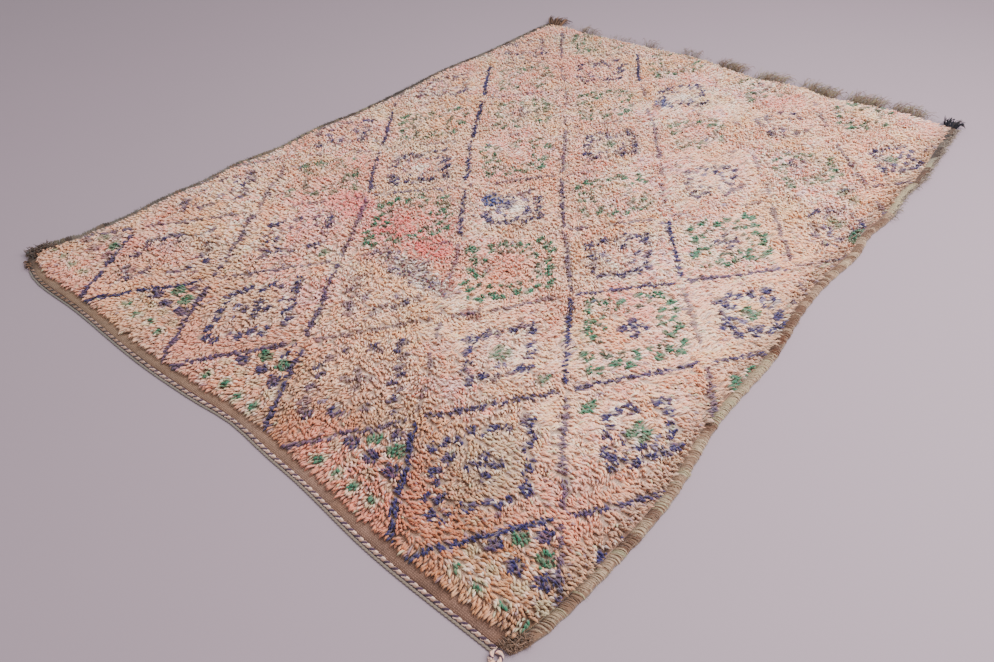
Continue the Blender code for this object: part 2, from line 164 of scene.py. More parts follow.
MARKS = (
    Patch(-0.052, 1.060, 0.034, 0.042, "blue", 1.0),
    Patch(0.004, 1.075, 0.020, 0.034, "indigo", 0.8),
    Patch(-0.012, 1.990, 0.028, 0.028, "blue", 0.9),
    Patch(0.000, 1.955, 0.022, 0.020, "madder", 0.7),
    Patch(0.560, 1.880, 0.008, 0.030, "indigo", 0.8),
    Patch(0.595, 1.880, 0.008, 0.030, "indigo", 0.8),
    Patch(0.578, 1.850, 0.018, 0.008, "indigo", 0.8),
    Patch(0.079, 0.814, 0.014, 0.024, "green", 1.0),
    Patch(-0.229, 0.536, 0.012, 0.020, "green", 0.8),
    Patch(0.686, 0.536, 0.016, 0.026, "green", 1.0),
    Patch(0.557, 0.536, 0.012, 0.026, "green", 0.9),
    Patch(-0.440, 0.826, 0.014, 0.014, "green", 0.8),
    Patch(-0.722, 0.168, 0.020, 0.018, "green", 0.8),
    Patch(0.892, 1.570, 0.020, 0.050, "green", 0.9),
    Patch(0.770, 1.790, 0.012, 0.034, "green", 0.7),
    Patch(0.815, 1.760, 0.014, 0.026, "green", 0.7),
    Patch(0.000, 0.640, 0.085, 0.036, "faded", 0.50),
    Patch(0.105, 0.632, 0.075, 0.030, "faded", 0.45),
    Patch(0.145, 0.660, 0.018, 0.020, "madder", 0.6),
    Patch(0.150, 0.622, 0.020, 0.014, "madder", 0.6),
    Patch(0.270, 0.600, 0.040, 0.016, "madder", 0.7),
    Patch(-0.010, 0.760, 0.060, 0.050, "rose", 0.40),
)
STAINS = (
    Patch(-0.160, 0.755, 0.110, 0.075, "rose", 0.62),
    Patch(-0.010, 0.730, 0.120, 0.055, "rose", 0.72),
    Patch(-0.120, 0.780, 0.230, 0.130, "rose", 0.34),
    Patch(-0.375, 0.765, 0.100, 0.070, "rose", 0.55),
    Patch(-0.030, 0.860, 0.050, 0.050, "rose", 0.50),
    Patch(0.120, 0.665, 0.070, 0.050, "rose", 0.50),
    Patch(-0.160, 0.640, 0.200, 0.070, "pink", 0.40),
    Patch(0.230, 0.840, 0.140, 0.130, "pink", 0.45),
    Patch(0.260, 0.760, 0.090, 0.070, "apricot", 0.45),
    Patch(0.580, 0.770, 0.100, 0.080, "apricot", 0.45),
    Patch(0.560, 0.900, 0.110, 0.070, "pink", 0.50),
    Patch(0.430, 0.740, 0.080, 0.120, "pink", 0.40),
    Patch(-0.500, 0.960, 0.160, 0.100, "pink", 0.35),
    Patch(0.000, 1.180, 0.220, 0.100, "pink", 0.30),
    Patch(0.330, 0.110, 0.130, 0.090, "rust", 0.50),
    Patch(0.040, 0.190, 0.110, 0.060, "rust", 0.45),
    Patch(0.620, 0.100, 0.200, 0.070, "rust", 0.28),
    Patch(0.450, 0.460, 0.250, 0.080, "rust", 0.22),
    Patch(-0.780, 0.400, 0.100, 0.090, "rust", 0.30),
    Patch(-0.300, 0.120, 0.400, 0.060, "rust", 0.22),
    Patch(0.850, 0.450, 0.080, 0.200, "rust", 0.25),
    Patch(-0.560, 1.360, 0.100, 0.060, "apricot", 0.45),
    Patch(0.800, 1.420, 0.120, 0.120, "apricot", 0.30),
    Patch(0.250, 1.700, 0.300, 0.160, "pink", 0.28),
    Patch(-0.450, 2.050, 0.260, 0.180, "pink", 0.28),
    Patch(0.500, 2.250, 0.300, 0.140, "pink", 0.25),
    Patch(-0.200, 0.300, 0.060, 0.060, "apricot", 0.25),
    Patch(0.610, 0.270, 0.110, 0.120, "sage", 0.35),
    Patch(-0.170, 0.270, 0.110, 0.100, "sage", 0.25),
    Patch(-0.400, 0.320, 0.140, 0.090, "sage", 0.22),
    Patch(-0.600, 2.300, 0.220, 0.100, "sage", 0.35),
    Patch(0.050, 2.120, 0.120, 0.120, "sage", 0.30),
)

# The bound sides change colour along their length: where each stretch ends, and its dyes.
Stretch = namedtuple("Stretch", "until colours")

RIGHT_WRAPS = (
    Stretch(0.075, ("walnut", "hazel", "walnut")),
    Stretch(0.160, ("tan", "khaki", "walnut")),
    Stretch(0.285, ("tan", "oat", "khaki")),
    Stretch(0.325, ("hazel", "walnut")),
    Stretch(0.370, ("oat", "tan")),
    Stretch(0.405, ("hazel", "tan")),
    Stretch(0.530, ("khaki", "oat", "tan")),
    Stretch(0.640, ("tan", "walnut", "oat")),
    Stretch(0.675, ("hazel", "walnut")),
    Stretch(0.950, ("oat", "khaki", "oat")),
    Stretch(1.050, ("russet", "russet", "hazel")),
    Stretch(1.330, ("hazel", "walnut", "tan")),
    Stretch(1.600, ("tan", "oat", "walnut")),
    Stretch(1.780, ("walnut", "hazel", "tan")),
    Stretch(2.000, ("oat", "khaki")),
    Stretch(2.140, ("hazel", "umber")),
    Stretch(2.220, ("khaki", "ash")),
    Stretch(2.320, ("umber", "bistre")),
    Stretch(2.360, ("ash", "umber")),
    Stretch(2.600, ("bistre", "bistre", "umber")),
)
LEFT_WRAPS = (
    Stretch(0.045, ("bistre", "umber", "walnut")),
    Stretch(0.100, ("umber", "khaki", "bistre")),
    Stretch(0.230, ("ash", "walnut", "umber")),
    Stretch(0.330, ("umber", "ash")),
    Stretch(0.700, ("umber", "ash", "walnut")),
    Stretch(1.350, ("walnut", "khaki", "umber")),
    Stretch(1.600, ("umber", "bistre")),
    Stretch(2.600, ("walnut", "ash", "umber")),
)

# The bound sides: 1 for the right one or -1 for the left, slot and stretches, how light the
# yarn is, how much it swells towards the near end, how far it is lifted and the dye of its
# fuzz. Then the felt at its near end: how far it runs along the side, from where to where
# across, how long its fibres are as a share of the longest, and its dye.
Binding = namedtuple(
    "Binding",
    "side outward slot stretches light swell lift fuzz felt_run felt_from felt_to felt_share felt",
)

BINDINGS = (
    Binding(
        "right", 1, "overcast_wool", RIGHT_WRAPS, 1.0, 0.0, 0.0, "oat", 0.040, 0.0, 1.0, 0.6, "walnut"
    ),
    Binding(
        "left", -1, "felted_wool", LEFT_WRAPS, 0.60, 1.0, 0.15, "ash", 0.075, -0.9, 0.9, 1.0, "umber"
    ),
)

# Bunches of warp ends at the far end: from where to where each stands across the rug, how far
# it reaches out, how far it drifts to the right, and how many strands it has.
Bunch = namedtuple("Bunch", "start end reach drift strands")

BUNCHES = (
    Bunch(-0.740, -0.625, 0.066, 0.006, 60),
    Bunch(-0.565, -0.435, 0.030, 0.004, 40),
    Bunch(-0.400, -0.320, 0.062, -0.008, 45),
    Bunch(-0.220, -0.130, 0.056, -0.006, 60),
    Bunch(-0.050, 0.095, 0.076, 0.008, 170),
    Bunch(0.135, 0.270, 0.086, 0.012, 150),
    Bunch(0.320, 0.485, 0.092, 0.010, 190),
    Bunch(0.490, 0.660, 0.100, 0.014, 200),
    Bunch(0.650, 0.815, 0.088, 0.012, 160),
)

# Corner tufts: the node each stands for and its slot, the ends of its head across the rug, 1 at
# the far end or -1 at the near one, how far its yarn ends reach, how they fan out from left to
# right, how many there are, how thick they are and how high they rise, and their colours.
Tuft = namedtuple("Tuft", "node slot start end outward reach fan_from fan_to strands radius rise colours")

TUFTS = (
    Tuft(
        "tuft_far_right", "blue_black_yarn", 0.864, 0.904, 1, 0.056, -0.012, 0.026, 60,
        0.0027, 0.033, ("ink", "ink", "bistre"),
    ),
    Tuft(
        "tuft_far_left", "dark_brown_yarn", -0.895, -0.835, 1, 0.076, -0.028, 0.010, 90,
        0.0021, 0.034, ("umber", "bistre", "walnut"),
    ),
    Tuft(
        "tuft_near_left", "dark_brown_yarn", -0.867, -0.823, -1, 0.017, -0.014, 0.005, 36,
        0.0019, 0.008, ("bistre", "umber", "walnut"),
    ),
)


def linear(code):
    """Turns an sRGB hex colour into Blender's linear values."""
    parts = [int(code[i : i + 2], 16) / 255 for i in (1, 3, 5)]
    return tuple(c / 12.92 if c <= 0.04045 else ((c + 0.055) / 1.055) ** 2.4 for c in parts)


def dye(name, code, use):
    return FloatVectorProperty(
        name=name, description=use, default=linear(code), subtype="COLOR", min=0.0, max=1.0
    )


def extent(name, use, metres):
    return FloatProperty(name=name, description=use, default=metres, unit="LENGTH")


class RugSizes(bpy.types.PropertyGroup):
    """Sizes that a user would change."""

    ground: extent("Ground cloth", "Thickness of the bare woven ends", 0.0038)
    knot_base: extent("Knotted cloth", "Thickness of the cloth under the pile", 0.0112)
    pitch_across: extent("Knot pitch across", "Distance between two knots of a row", 0.0092)
    pitch_along: extent("Row pitch", "Distance between two rows of knots, in the middle", 0.0112)
    lock_length: extent("Lock length", "Length of a lock of yarn from its knot", 0.0228)
    lock_radius: extent("Lock radius", "What a lock's thickness is worked out from", 0.0029)
    bare_near: extent("Near band", "Width of the bare woven band at the near end", 0.034)
    bare_far: extent("Far band", "Width of the bare woven band at the far end", 0.013)
    wrap_pitch: extent("Wrap pitch", "Distance between two turns of the side binding", 0.0028)
    wrap_radius: extent("Wrap radius", "Half the thickness of the binding yarn", 0.0018)
    braid_pitch: extent("Braid pitch", "Length of one whole twist of the braid", 0.021)
    cord_pitch: extent("Cord pitch", "Length of one whole twist of the plain cord", 0.017)
    warp_radius: extent("Warp radius", "Half the thickness of a warp end", 0.0013)


class RugDyes(bpy.types.PropertyGroup):
    """Colours of the yarns, as sRGB hex values turned to linear ones."""

    cream: dye("Cream", "#FDD1BC", "Undyed wool that has taken a peach cast")
    straw: dye("Straw", "#F6CC9E", "Field yarn gone yellow")
    lilac: dye("Lilac grey", "#E8C0C3", "Field yarn with a cool cast")
    peach: dye("Peach", "#FFB093", "Warm field yarn")
    beige: dye("Beige", "#EBB79E", "Greyer field yarn")
    pale: dye("Pale", "#F8E2D8", "The lightest wool, beside the rings")
    pink: dye("Pink", "#FF9C90", "Field yarn stained by red dye")
    rose: dye("Rose", "#DA5A64", "Red dye where it has bled most")
    rust: dye("Rust", "#C27A55", "Orange brown field yarn")
    sienna: dye("Sienna", "#B06A3C", "Sun and dust stained yarn of the near end")
    apricot: dye("Apricot", "#F2AC78", "Yellow orange field yarn")
    sage: dye("Sage", "#C2BC9A", "Field yarn with a green cast")
    indigo: dye("Indigo", "#241A52", "Blue violet yarn of lines and rings")
    faded: dye("Faded indigo", "#75678A", "Worn and bled blue violet")
    blue: dye("Blue", "#34407E", "Brighter blue yarn of a few marks")
    green: dye("Green", "#24674B", "Green yarn of rings and marks")
    moss: dye("Moss", "#3F4A39", "Dark olive green of the inner ring strokes")
    madder: dye("Madder", "#7A2B33", "Dark red yarn")
    walnut: dye("Walnut", "#725543", "Mid brown yarn of the bands and bindings")
    hazel: dye("Hazel", "#5F4134", "Muted reddish brown binding yarn")
    umber: dye("Umber", "#4A362C", "Dark brown yarn")
    bistre: dye("Bistre", "#2C2422", "The darkest brown yarn")
    khaki: dye("Khaki", "#9A8F72", "Grey green binding yarn")
    oat: dye("Oat", "#AB957C", "Pale binding yarn of the right side")
    russet: dye("Russet", "#603C2A", "Reddish brown binding yarn")
    ash: dye("Ash", "#7D756C", "Grey felted yarn")
    tan: dye("Tan", "#977A65", "Light brown of the near band")
    mauve: dye("Mauve brown", "#967466", "Pinkish brown of the near band")
    # Partly dust and partly painted shade: the grey brown of the pile's roots, also painted as shade on
    # the ground cloth's top under the pile.
    dust: dye("Dust", "#BCA192", "Grey brown that the roots of the pile have taken")
    plum: dye("Plum", "#422C40", "Purple brown yarn of the braid")
    blush: dye("Blush", "#D2AFA0", "Light yarn of the braid")
    ink: dye("Ink", "#15151F", "Blue black yarn of the far right tuft")


class RugStage(bpy.types.PropertyGroup):
    """Floor, light and camera."""

    floor_colour: FloatVectorProperty(
        name="Floor", description="Colour of the plain floor", default=linear("#968590"),
        subtype="COLOR", min=0.0, max=1.0,
    )
    key_power: FloatProperty(
        name="Key light", description="Power of the large overhead light",
        default=284.0, unit="POWER",
    )
    fill_power: FloatProperty(
        name="Fill light", description="Power of the small light from the near side",
        default=8.0, unit="POWER",
    )
    sky: FloatProperty(
        name="Room light", description="Strength of the even light of the room", default=0.75
    )
    camera_place: FloatVectorProperty(
        name="Camera place", description="Where the camera stands", subtype="TRANSLATION",
        unit="LENGTH", default=(1.26932, -1.70648, 1.22512),
    )
    camera_turn: FloatVectorProperty(
        name="Camera turn", description="How the camera is turned", subtype="EULER",
        unit="ROTATION", default=(math.radians(48.735), math.radians(0.693), math.radians(40.601)),
    )
    lens: FloatProperty(
        name="Lens", description="Focal length on a 36 mm sensor, in millimetres", default=26.71
    )


def smooth_step(t):
    return t * t * (3 - 2 * t)


def soft_noise(x, y, size, seed):
    """Smooth noise from 0 to 1, the same for the same places, on a grid of one size."""
    cells = 97
    table = np.random.default_rng(seed).random((cells, cells))
    i = np.floor(x / size).astype(int)
    j = np.floor(y / size).astype(int)
    s = smooth_step(x / size - i)
    t = smooth_step(y / size - j)
    i, next_i, j, next_j = i % cells, (i + 1) % cells, j % cells, (j + 1) % cells
    near = table[i, j] * (1 - s) + table[next_i, j] * s
    far = table[i, next_j] * (1 - s) + table[next_i, next_j] * s
    return near * (1 - t) + far * t


def edge_lines():
    """The four edges of the cloth on the floor, read from the solid, each as two rows of values.

    The near and far edges give y for each x, and the left and right edges give x for each y.
    """
    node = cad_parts["rug_body"]
    points = np.array([vertex.co[:] for vertex in node.data.vertices])
    on_floor = np.round(points[points[:, 2] < 1e-5][:, :2], 5)
    ring = np.unique(on_floor, axis=0)
    ring = ring[np.argsort(np.arctan2(ring[:, 1], ring[:, 0]))]
    ring = np.roll(ring, -int(np.argmin(ring.sum(axis=1))), axis=0)
    near_right = int(np.argmax(ring[:, 0] - ring[:, 1]))
    far_right = int(np.argmax(ring.sum(axis=1)))
    far_left = int(np.argmax(ring[:, 1] - ring[:, 0]))
    near = ring[: near_right + 1]
    right = ring[near_right : far_right + 1]
    far = ring[far_right : far_left + 1][::-1]
    left = np.vstack([ring[far_left:], ring[:1]])[::-1]
    return {
        "near": (near[:, 0], near[:, 1]),
        "far": (far[:, 0], far[:, 1]),
        "right": (right[:, 1], right[:, 0]),
        "left": (left[:, 1], left[:, 0]),
    }


EDGES = edge_lines()


def edge_at(side, along):
    return np.interp(along, *EDGES[side])


def cloth_place(a, b, near=0.0, far=0.0, side=0.0):
    """Places on the cloth at shares a across and b along, with its edges drawn in."""
    x_nominal = edge_at("left", 0.0) * (1 - a) + edge_at("right", 0.0) * a
    y = (edge_at("near", x_nominal) + near) * (1 - b) + (edge_at("far", x_nominal) - far) * b
    x = (edge_at("left", y) + side) * (1 - a) + (edge_at("right", y) - side) * a
    return x, y


def lattice(x, y):
    """Column and row of each place in the lattice."""
    heights = np.array(ROW_HEIGHTS)
    row = np.interp(y - NEAR_LINE_Y, heights, np.arange(len(heights)))
    return (x - COLUMN_START) / COLUMN_STEP, row


def colour_of(name):
    return np.array(getattr(bpy.context.scene.rug_dyes, name)[:])


def blob(x, y, patch):
    """How deep each place lies in a patch, from 0 at its edge to 1."""
    across = (x - patch.x) / patch.radius_x
    along = (y - NEAR_LINE_Y - patch.along) / patch.radius_y
    return np.clip(1.25 - (across**2 + along**2), 0, 1)


def paint(colours, name, share):
    share = np.clip(share, 0, 1)[:, None]
    return colours * (1 - share) + colour_of(name) * share


def field_colours(x, y, chance):
    """The mixed pale yarns of the field, with the stains that have spread over them."""
    names = ("apricot", "straw", "beige", "cream", "pale", "peach", "pink", "lilac")
    shared = 0.8 * soft_noise(x, y, 0.024, 3) + 0.9 * soft_noise(x, y, 0.10, 4)
    pick = np.argsort(np.argsort(shared + 0.36 * chance.random(len(x)))) / len(x)
    limits = np.array([0.07, 0.19, 0.28, 0.50, 0.62, 0.82, 0.92, 1.0])
    index = np.searchsorted(limits, pick, side="right")
    palette = np.array([colour_of(name) for name in names])
    colours = paint(palette[np.clip(index, 0, len(names) - 1)], "cream", np.full(len(x), 0.22))
    for patch in STAINS:
        ragged = 0.55 + 0.9 * soft_noise(x, y, 0.045, 5)
        picked = 0.5 + chance.random(len(x))
        colours = paint(colours, patch.dye, 1.3 * blob(x, y, patch) * patch.strength * ragged * picked)
    near_end = np.clip(1.25 - (y - NEAR_LINE_Y) / 0.34, 0, 1) * (0.85 + 0.3 * soft_noise(x, y, 0.06, 7))
    near_end = near_end * (0.85 + 0.25 * np.clip(x / 0.4, -1, 1))
    colours = paint(colours, "beige", near_end * 0.55)
    rusty = near_end * (0.70 + 0.26 * np.clip(x / 0.5, 0, 1))
    colours = paint(colours, "sienna", rusty * (0.75 + 0.5 * chance.random(len(x))))
    for name, seed, share in (("apricot", 13, 1.0), ("pink", 15, 0.9), ("straw", 17, 0.9)):
        broad = np.clip(soft_noise(x, y, 0.17, seed) - 0.52, 0, 1)
        colours = paint(colours, name, broad * share * (0.5 + chance.random(len(x))))
    green_cast = np.clip(soft_noise(x, y, 0.13, 8) - 0.62, 0, 1)
    colours = paint(colours, "sage", green_cast * 1.4 * chance.random(len(x)))
    rust_cast = np.clip(soft_noise(x, y, 0.10, 9) - 0.66, 0, 1)
    colours = paint(colours, "rust", rust_cast * 0.8 * chance.random(len(x)))
    from_right = edge_at("right", y) - x
    near_right = np.clip(1 - from_right / 0.24, 0, 1) * np.clip(1.3 - y / 1.2, 0.3, 1)
    colours = paint(colours, "apricot", near_right * 0.35)
    # The locks close to the right edge are mixed with tan, darker than the rest of the field.
    tan_by_right_edge = np.clip(1 - from_right / 0.070, 0, 1)
    colours = paint(colours, "tan", tan_by_right_edge * (0.30 + 0.75 * chance.random(len(x))))
    dulled = 0.012 + 0.14 * np.clip(soft_noise(x, y, 0.11, 11) - 0.50, 0, 1)
    struck = chance.random(len(x))
    colours = paint(colours, "umber", (struck < dulled * 0.5) * 0.60)
    colours = paint(colours, "faded", ((struck > 0.5) & (struck < 0.5 + dulled * 0.6)) * 0.55)
    return paint(colours, "sage", (struck > 1 - dulled * 0.6) * 0.8)


# Shares of the lattice's step: how far the dye of a line reaches on both sides, how far its
# stray knots do, and how far from a crossing it stops.
LINE_HALF = 0.040
STRAY_HALF = 0.074
CROSSING_GAP = 0.055


def line_share(across, row, lines, grain):
    """How strongly the dye of one family of lines shows: a knot or two wide, and broken."""
    nearest = 2 * np.floor(across / 2) + 1
    band = np.clip(np.floor(row), 0, 9).astype(int)
    strength = np.zeros(len(band))
    for line in lines:
        digits = np.array([int(digit) for digit in line.strengths.ljust(10, "0")]) / 9
        strength = np.where(nearest == line.number, digits[band], strength)
    away = np.abs(across - nearest)
    worn = soft_noise(nearest * 0.7 + row * 0.27, nearest * 3.1, 0.045, 21)
    shown = (worn < 0.26 + strength) & (np.abs(row - np.round(row)) >= CROSSING_GAP)
    core = (away < LINE_HALF) & shown
    beside = (away < STRAY_HALF) & shown & (grain < 0.26)
    return core * (0.50 + 0.50 * strength) * (strength > 0), beside * 0.6 * strength


def place_in(column, row):
    """The place on the rug of a place in the lattice."""
    along = np.interp(row, np.arange(len(ROW_HEIGHTS)), ROW_HEIGHTS)
    return COLUMN_START + COLUMN_STEP * column, along


def ring_marks(cell):
    """The short strokes of one lozenge: two nested zigzag rows, its centre, and stray strokes."""
    chance = np.random.default_rng(1000 + 10 * cell.column + cell.row)
    corners = ((1, 0), (0, 1), (-1, 0), (0, -1), (1, 0))
    inner = 0.95 if cell.dye == "green" else min(0.15 * cell.row, 0.60)
    marks = []
    for inset, count, kept in ((0.0, 7, 1.0), (-0.18, 5, inner)):
        for side in range(4):
            for n in range(count):
                share = (n + 0.5 * (inset != 0)) / count
                reach = cell.reach + inset + 0.08 * (n % 2) * (inset == 0) - 0.03
                column = corners[side][0] * (1 - share) + corners[side + 1][0] * share
                row = corners[side][1] * (1 - share) + corners[side + 1][1] * share
                if chance.random() > (0.55 + 0.50 * cell.strength) * kept:
                    continue
                x, along = place_in(cell.column + reach * column, cell.row + reach * row)
                x += chance.normal(0, 0.0040)
                along += chance.normal(0, 0.0060)
                girth = 1.0 if inset == 0 else 0.72
                radius_x = girth * chance.uniform(0.0085, 0.0125)
                radius_y = girth * chance.uniform(0.0130, 0.0190)
                strength = np.clip(0.52 + 0.6 * cell.strength + chance.normal(0, 0.12), 0, 1)
                inner_dye = "moss" if cell.dye == "green" else "faded"
                name = inner_dye if inset and chance.random() < 0.6 else cell.dye
                marks.append(Patch(x, along, radius_x, radius_y, name, strength))
    if cell.centre:
        spread = 0.095 if cell.centre == "indigo" else 0.06
        for column, row in ((0, 0), (1, 1), (1, -1), (-1, 1), (-1, -1)):
            x, along = place_in(cell.column + spread * column, cell.row + 0.8 * spread * row)
            marks.append(Patch(x, along, 0.0112, 0.0150, cell.centre, 0.3 + 0.7 * cell.strength))
    return marks + stray_strokes(cell, chance)


def stray_strokes(cell, chance):
    """Small dark and faded strokes inside a lozenge, more of them towards the far end."""
    names = ("faded", "umber", cell.dye, "walnut", "sage", "faded")
    marks = []
    for _ in range(4 + 6 * cell.row):
        column, row = chance.uniform(-1, 1, 2)
        name = names[chance.integers(0, len(names))]
        strength = chance.uniform(0.40, 0.85)
        if abs(column) + abs(row) < 0.92:
            x, along = place_in(cell.column + column, cell.row + row)
            marks.append(Patch(x, along, 0.0044, 0.0095, name, strength))
    return marks


def triangle_marks():
    """The rows of marks in the half lozenges of the near end."""
    marks = []
    for centre, strength in TRIANGLE_STRENGTHS.items():
        middle, _ = place_in(centre, 0)
        for row in TRIANGLE_ROWS:
            for n in range(row.count):
                x = middle + (n - (row.count - 1) / 2) * row.spacing
                along = row.height + 0.004 * math.sin(3.1 * n + centre)
                marks.append(Patch(x, along, row.size, row.size, row.dye, strength * row.strength))
    return marks


def felted_strokes():
    """Dark, pale and red strokes in the two worn places beside the red stain."""
    chance = np.random.default_rng(2001)
    names = ("umber", "faded", "pale", "madder", "pale", "indigo")
    marks = []
    for patch in (patch for patch in MARKS if patch.dye == "faded"):
        for n in range(120):
            x, along = chance.normal(0, 0.55, 2) * (patch.radius_x, patch.radius_y)
            place = (patch.x + x, patch.along + along)
            marks.append(Patch(*place, 0.0042, 0.0100, names[n % len(names)], chance.uniform(0.6, 1.0)))
    return marks


def all_marks():
    marks = []
    for cell in CELLS:
        marks.extend(ring_marks(cell))
    return marks + triangle_marks() + list(MARKS) + felted_strokes()


def stamp(colours, x, y, mark, grain):
    """Dyes the knots under one mark, and pales a few of those around it."""
    near = np.flatnonzero(np.abs(x - mark.x) < 2 * mark.radius_x)
    across = (x[near] - mark.x) / mark.radius_x
    along = (y[near] - NEAR_LINE_Y - mark.along) / mark.radius_y
    away = across**2 + along**2
    ring = near[(away > 1.1) & (away < 2.4) & (grain[near] < 0.40) & (mark.radius_x > 0.006)]
    colours[ring] = colours[ring] * 0.6 + colour_of("pale") * 0.4
    inside = near[away < 1.0]
    share = (mark.strength * (0.80 + 0.35 * grain[inside]))[:, None].clip(0, 1)
    colours[inside] = colours[inside] * (1 - share) + colour_of(mark.dye) * share


def dyed_colours(x, y, seed):
    """The dye of each knot, by the chart."""
    chance = np.random.default_rng(seed)
    colours = field_colours(x, y, chance)
    chart_x = x + 0.009 * (soft_noise(x, y, 0.06, 41) - 0.5)
    chart_y = y + 0.009 * (soft_noise(x, y, 0.06, 43) - 0.5)
    column, row = lattice(chart_x, chart_y)
    for cell in CELLS:
        if cell.inside:
            distance = np.abs(column - cell.column) + np.abs(row - cell.row)
            inside = distance < cell.reach - 0.08
            colours = paint(colours, cell.inside, inside * 0.40 * chance.random(len(x)))
    grain = chance.random(len(x))
    for mark in all_marks():
        stamp(colours, chart_x, chart_y, mark, grain)
    falling, beside_falling = line_share(column + row, row, FALLING_LINES, grain)
    rising, beside_rising = line_share(column - row, row, RISING_LINES, grain)
    in_field = row > 0
    colours = paint(colours, "faded", np.maximum(beside_falling, beside_rising) * in_field)
    return paint(colours, "indigo", np.maximum(falling, rising) * in_field)


def varied(colours, chance, lightness, warmth):
    """Small differences of light and warmth from yarn to yarn."""
    light = 1 + chance.normal(0, lightness, (len(colours), 1))
    warm = chance.normal(0, warmth, (len(colours), 1)) * np.array([[1.0, 0.0, -1.0]])
    return np.clip(colours * np.clip(light, 0.4, 1.6) * (1 + warm), 0.003, 0.95)


def add_node(tree, kind, inputs=None, **settings):
    """Adds a node with its settings. An input is a value or the socket that feeds it."""
    node = tree.nodes.new(kind)
    for key, value in settings.items():
        setattr(node, key, value)
    for key, value in (inputs or {}).items():
        if isinstance(value, bpy.types.NodeSocket):
            tree.links.new(value, node.inputs[key])
        else:
            node.inputs[key].default_value = value
    return node


def new_material(name):
    """An empty material with its Principled shader and its object coordinates."""
    material = bpy.data.materials.new(name)
    material.use_nodes = True
    tree = material.node_tree
    shader = tree.nodes["Principled BSDF"]
    place = add_node(tree, "ShaderNodeTexCoord").outputs["Object"]
    return material, tree, shader, place


# Each wool is named for how it was made. Its painted light at the root as a share of that at
# the tip, which paints shade into the roots below 1 and light into them above 1, how much of
# the grey brown of dust and painted shade its roots take, the width of its bunches of fibres in
# mm and their depth in metres, its roughness, and the sheen of its fuzz. The bunches are drawn
# wider than real ones, which are too fine to show.
Wool = namedtuple("Wool", "root_light root_dust bunch_mm bunch_depth roughness sheen")

WOOLS = {
    # Long locks felted by wear look soft and dull, with much fuzz. Their roots take the grey brown
    # of dust and painted shade, and are painted a little lighter against the shadow among the locks.
    "felted_long_wool_pile": Wool(1.04, 0.52, 2.6, 0.0012, 0.95, 0.25),
    # Turns of yarn sewn over the sides are rubbed coarse by feet, and catch light on their fuzz.
    # Their roots are painted a little darker, as shade.
    "overcast_wool_binding": Wool(0.90, 0.0, 1.8, 0.0006, 0.95, 0.22),
    # Hard-twined yarn is smoother, so its bunches are finer and it has less fuzz.
    "twined_wool_braid": Wool(1.0, 0.0, 1.0, 0.0005, 0.92, 0.15),
    # Two plain plies laid together have the same smooth twist, and are a little duller.
    "plain_wool_cord": Wool(1.0, 0.0, 0.9, 0.0005, 0.93, 0.15),
    # Warp ends are thin hard-spun singles, painted darker as shade where they leave the cloth.
    "loose_warp_yarn": Wool(0.80, 0.0, 0.8, 0.0004, 0.95, 0.10),
    # Cut dark yarn ends swallow the light and have hardly any sheen.
    "dark_yarn_ends": Wool(1.0, 0.0, 0.9, 0.0005, 0.90, 0.05),
    # The looped end of the braid has the braid's finish.
    "knotted_braid_end": Wool(1.0, 0.0, 1.0, 0.0005, 0.92, 0.15),
}


def yarn_material(name):
    """Wool yarn whose dye is carried by the attribute "yarn", from root to tip by "rise".

    The dye comes from each strand. Towards its root it takes the grey brown of dust and painted
    shade, and its lightness is scaled there: painted shade where the wool's root share is below 1,
    painted light where it is above. A noise as wide as a bunch of fibres varies its light and
    roughens it. Wool scatters light from its fuzz, so it has sheen.
    """
    wool = WOOLS[name]
    material, tree, shader, place = new_material(name)
    yarn = add_node(tree, "ShaderNodeAttribute", attribute_name="yarn").outputs["Color"]
    rise = add_node(tree, "ShaderNodeAttribute", attribute_name="rise").outputs["Fac"]
    fibres = add_node(
        tree, "ShaderNodeTexNoise",
        {"Vector": place, "Scale": 1000 / wool.bunch_mm, "Detail": 3.0, "Roughness": 0.65},
    ).outputs["Fac"]
    # Painted light from root to tip: the root's lightness as a share of the tip's, shade below 1 and
    # light above.
    shade = add_node(
        tree, "ShaderNodeMapRange",
        {"Value": rise, "From Max": 0.75, "To Min": wool.root_light, "To Max": 1.0},
    ).outputs["Result"]
    light = add_node(
        tree, "ShaderNodeMapRange",
        {"Value": fibres, "From Min": 0.30, "From Max": 0.70, "To Min": 0.80, "To Max": 1.22},
    ).outputs["Result"]
    both = add_node(tree, "ShaderNodeMath", {0: shade, 1: light}, operation="MULTIPLY").outputs["Value"]
    # The roots take the grey brown of dust and painted shade of the gaps between the locks.
    dust_and_shade_share = add_node(
        tree, "ShaderNodeMapRange",
        {"Value": rise, "From Max": 0.7, "To Min": wool.root_dust, "To Max": 0.0},
    ).outputs["Result"]
    dulled = add_node(
        tree, "ShaderNodeMix", {"Factor": dust_and_shade_share, 6: yarn, 7: (*colour_of("dust"), 1.0)}, data_type="RGBA"
    ).outputs[2]
    tone = add_node(
        tree, "ShaderNodeVectorMath", {0: dulled, "Scale": both}, operation="SCALE"
    ).outputs["Vector"]
    bump = add_node(
        tree, "ShaderNodeBump", {"Height": fibres, "Strength": 0.7, "Distance": wool.bunch_depth}
    ).outputs["Normal"]
    tree.links.new(tone, shader.inputs["Base Color"])
    tree.links.new(bump, shader.inputs["Normal"])
    shader.inputs["Roughness"].default_value = wool.roughness
    shader.inputs["Specular IOR Level"].default_value = 0.18
    shader.inputs["Sheen Weight"].default_value = wool.sheen
    shader.inputs["Sheen Roughness"].default_value = 0.6
    return material


def wave_scale(pitch):
    """Scale of a wave texture whose bands lie one pitch apart."""
    return 2 * math.pi / (20 * pitch)


WARP_PITCH = 0.0052
WEFT_PITCH = 0.0040
FLECK_SIZE = 0.006


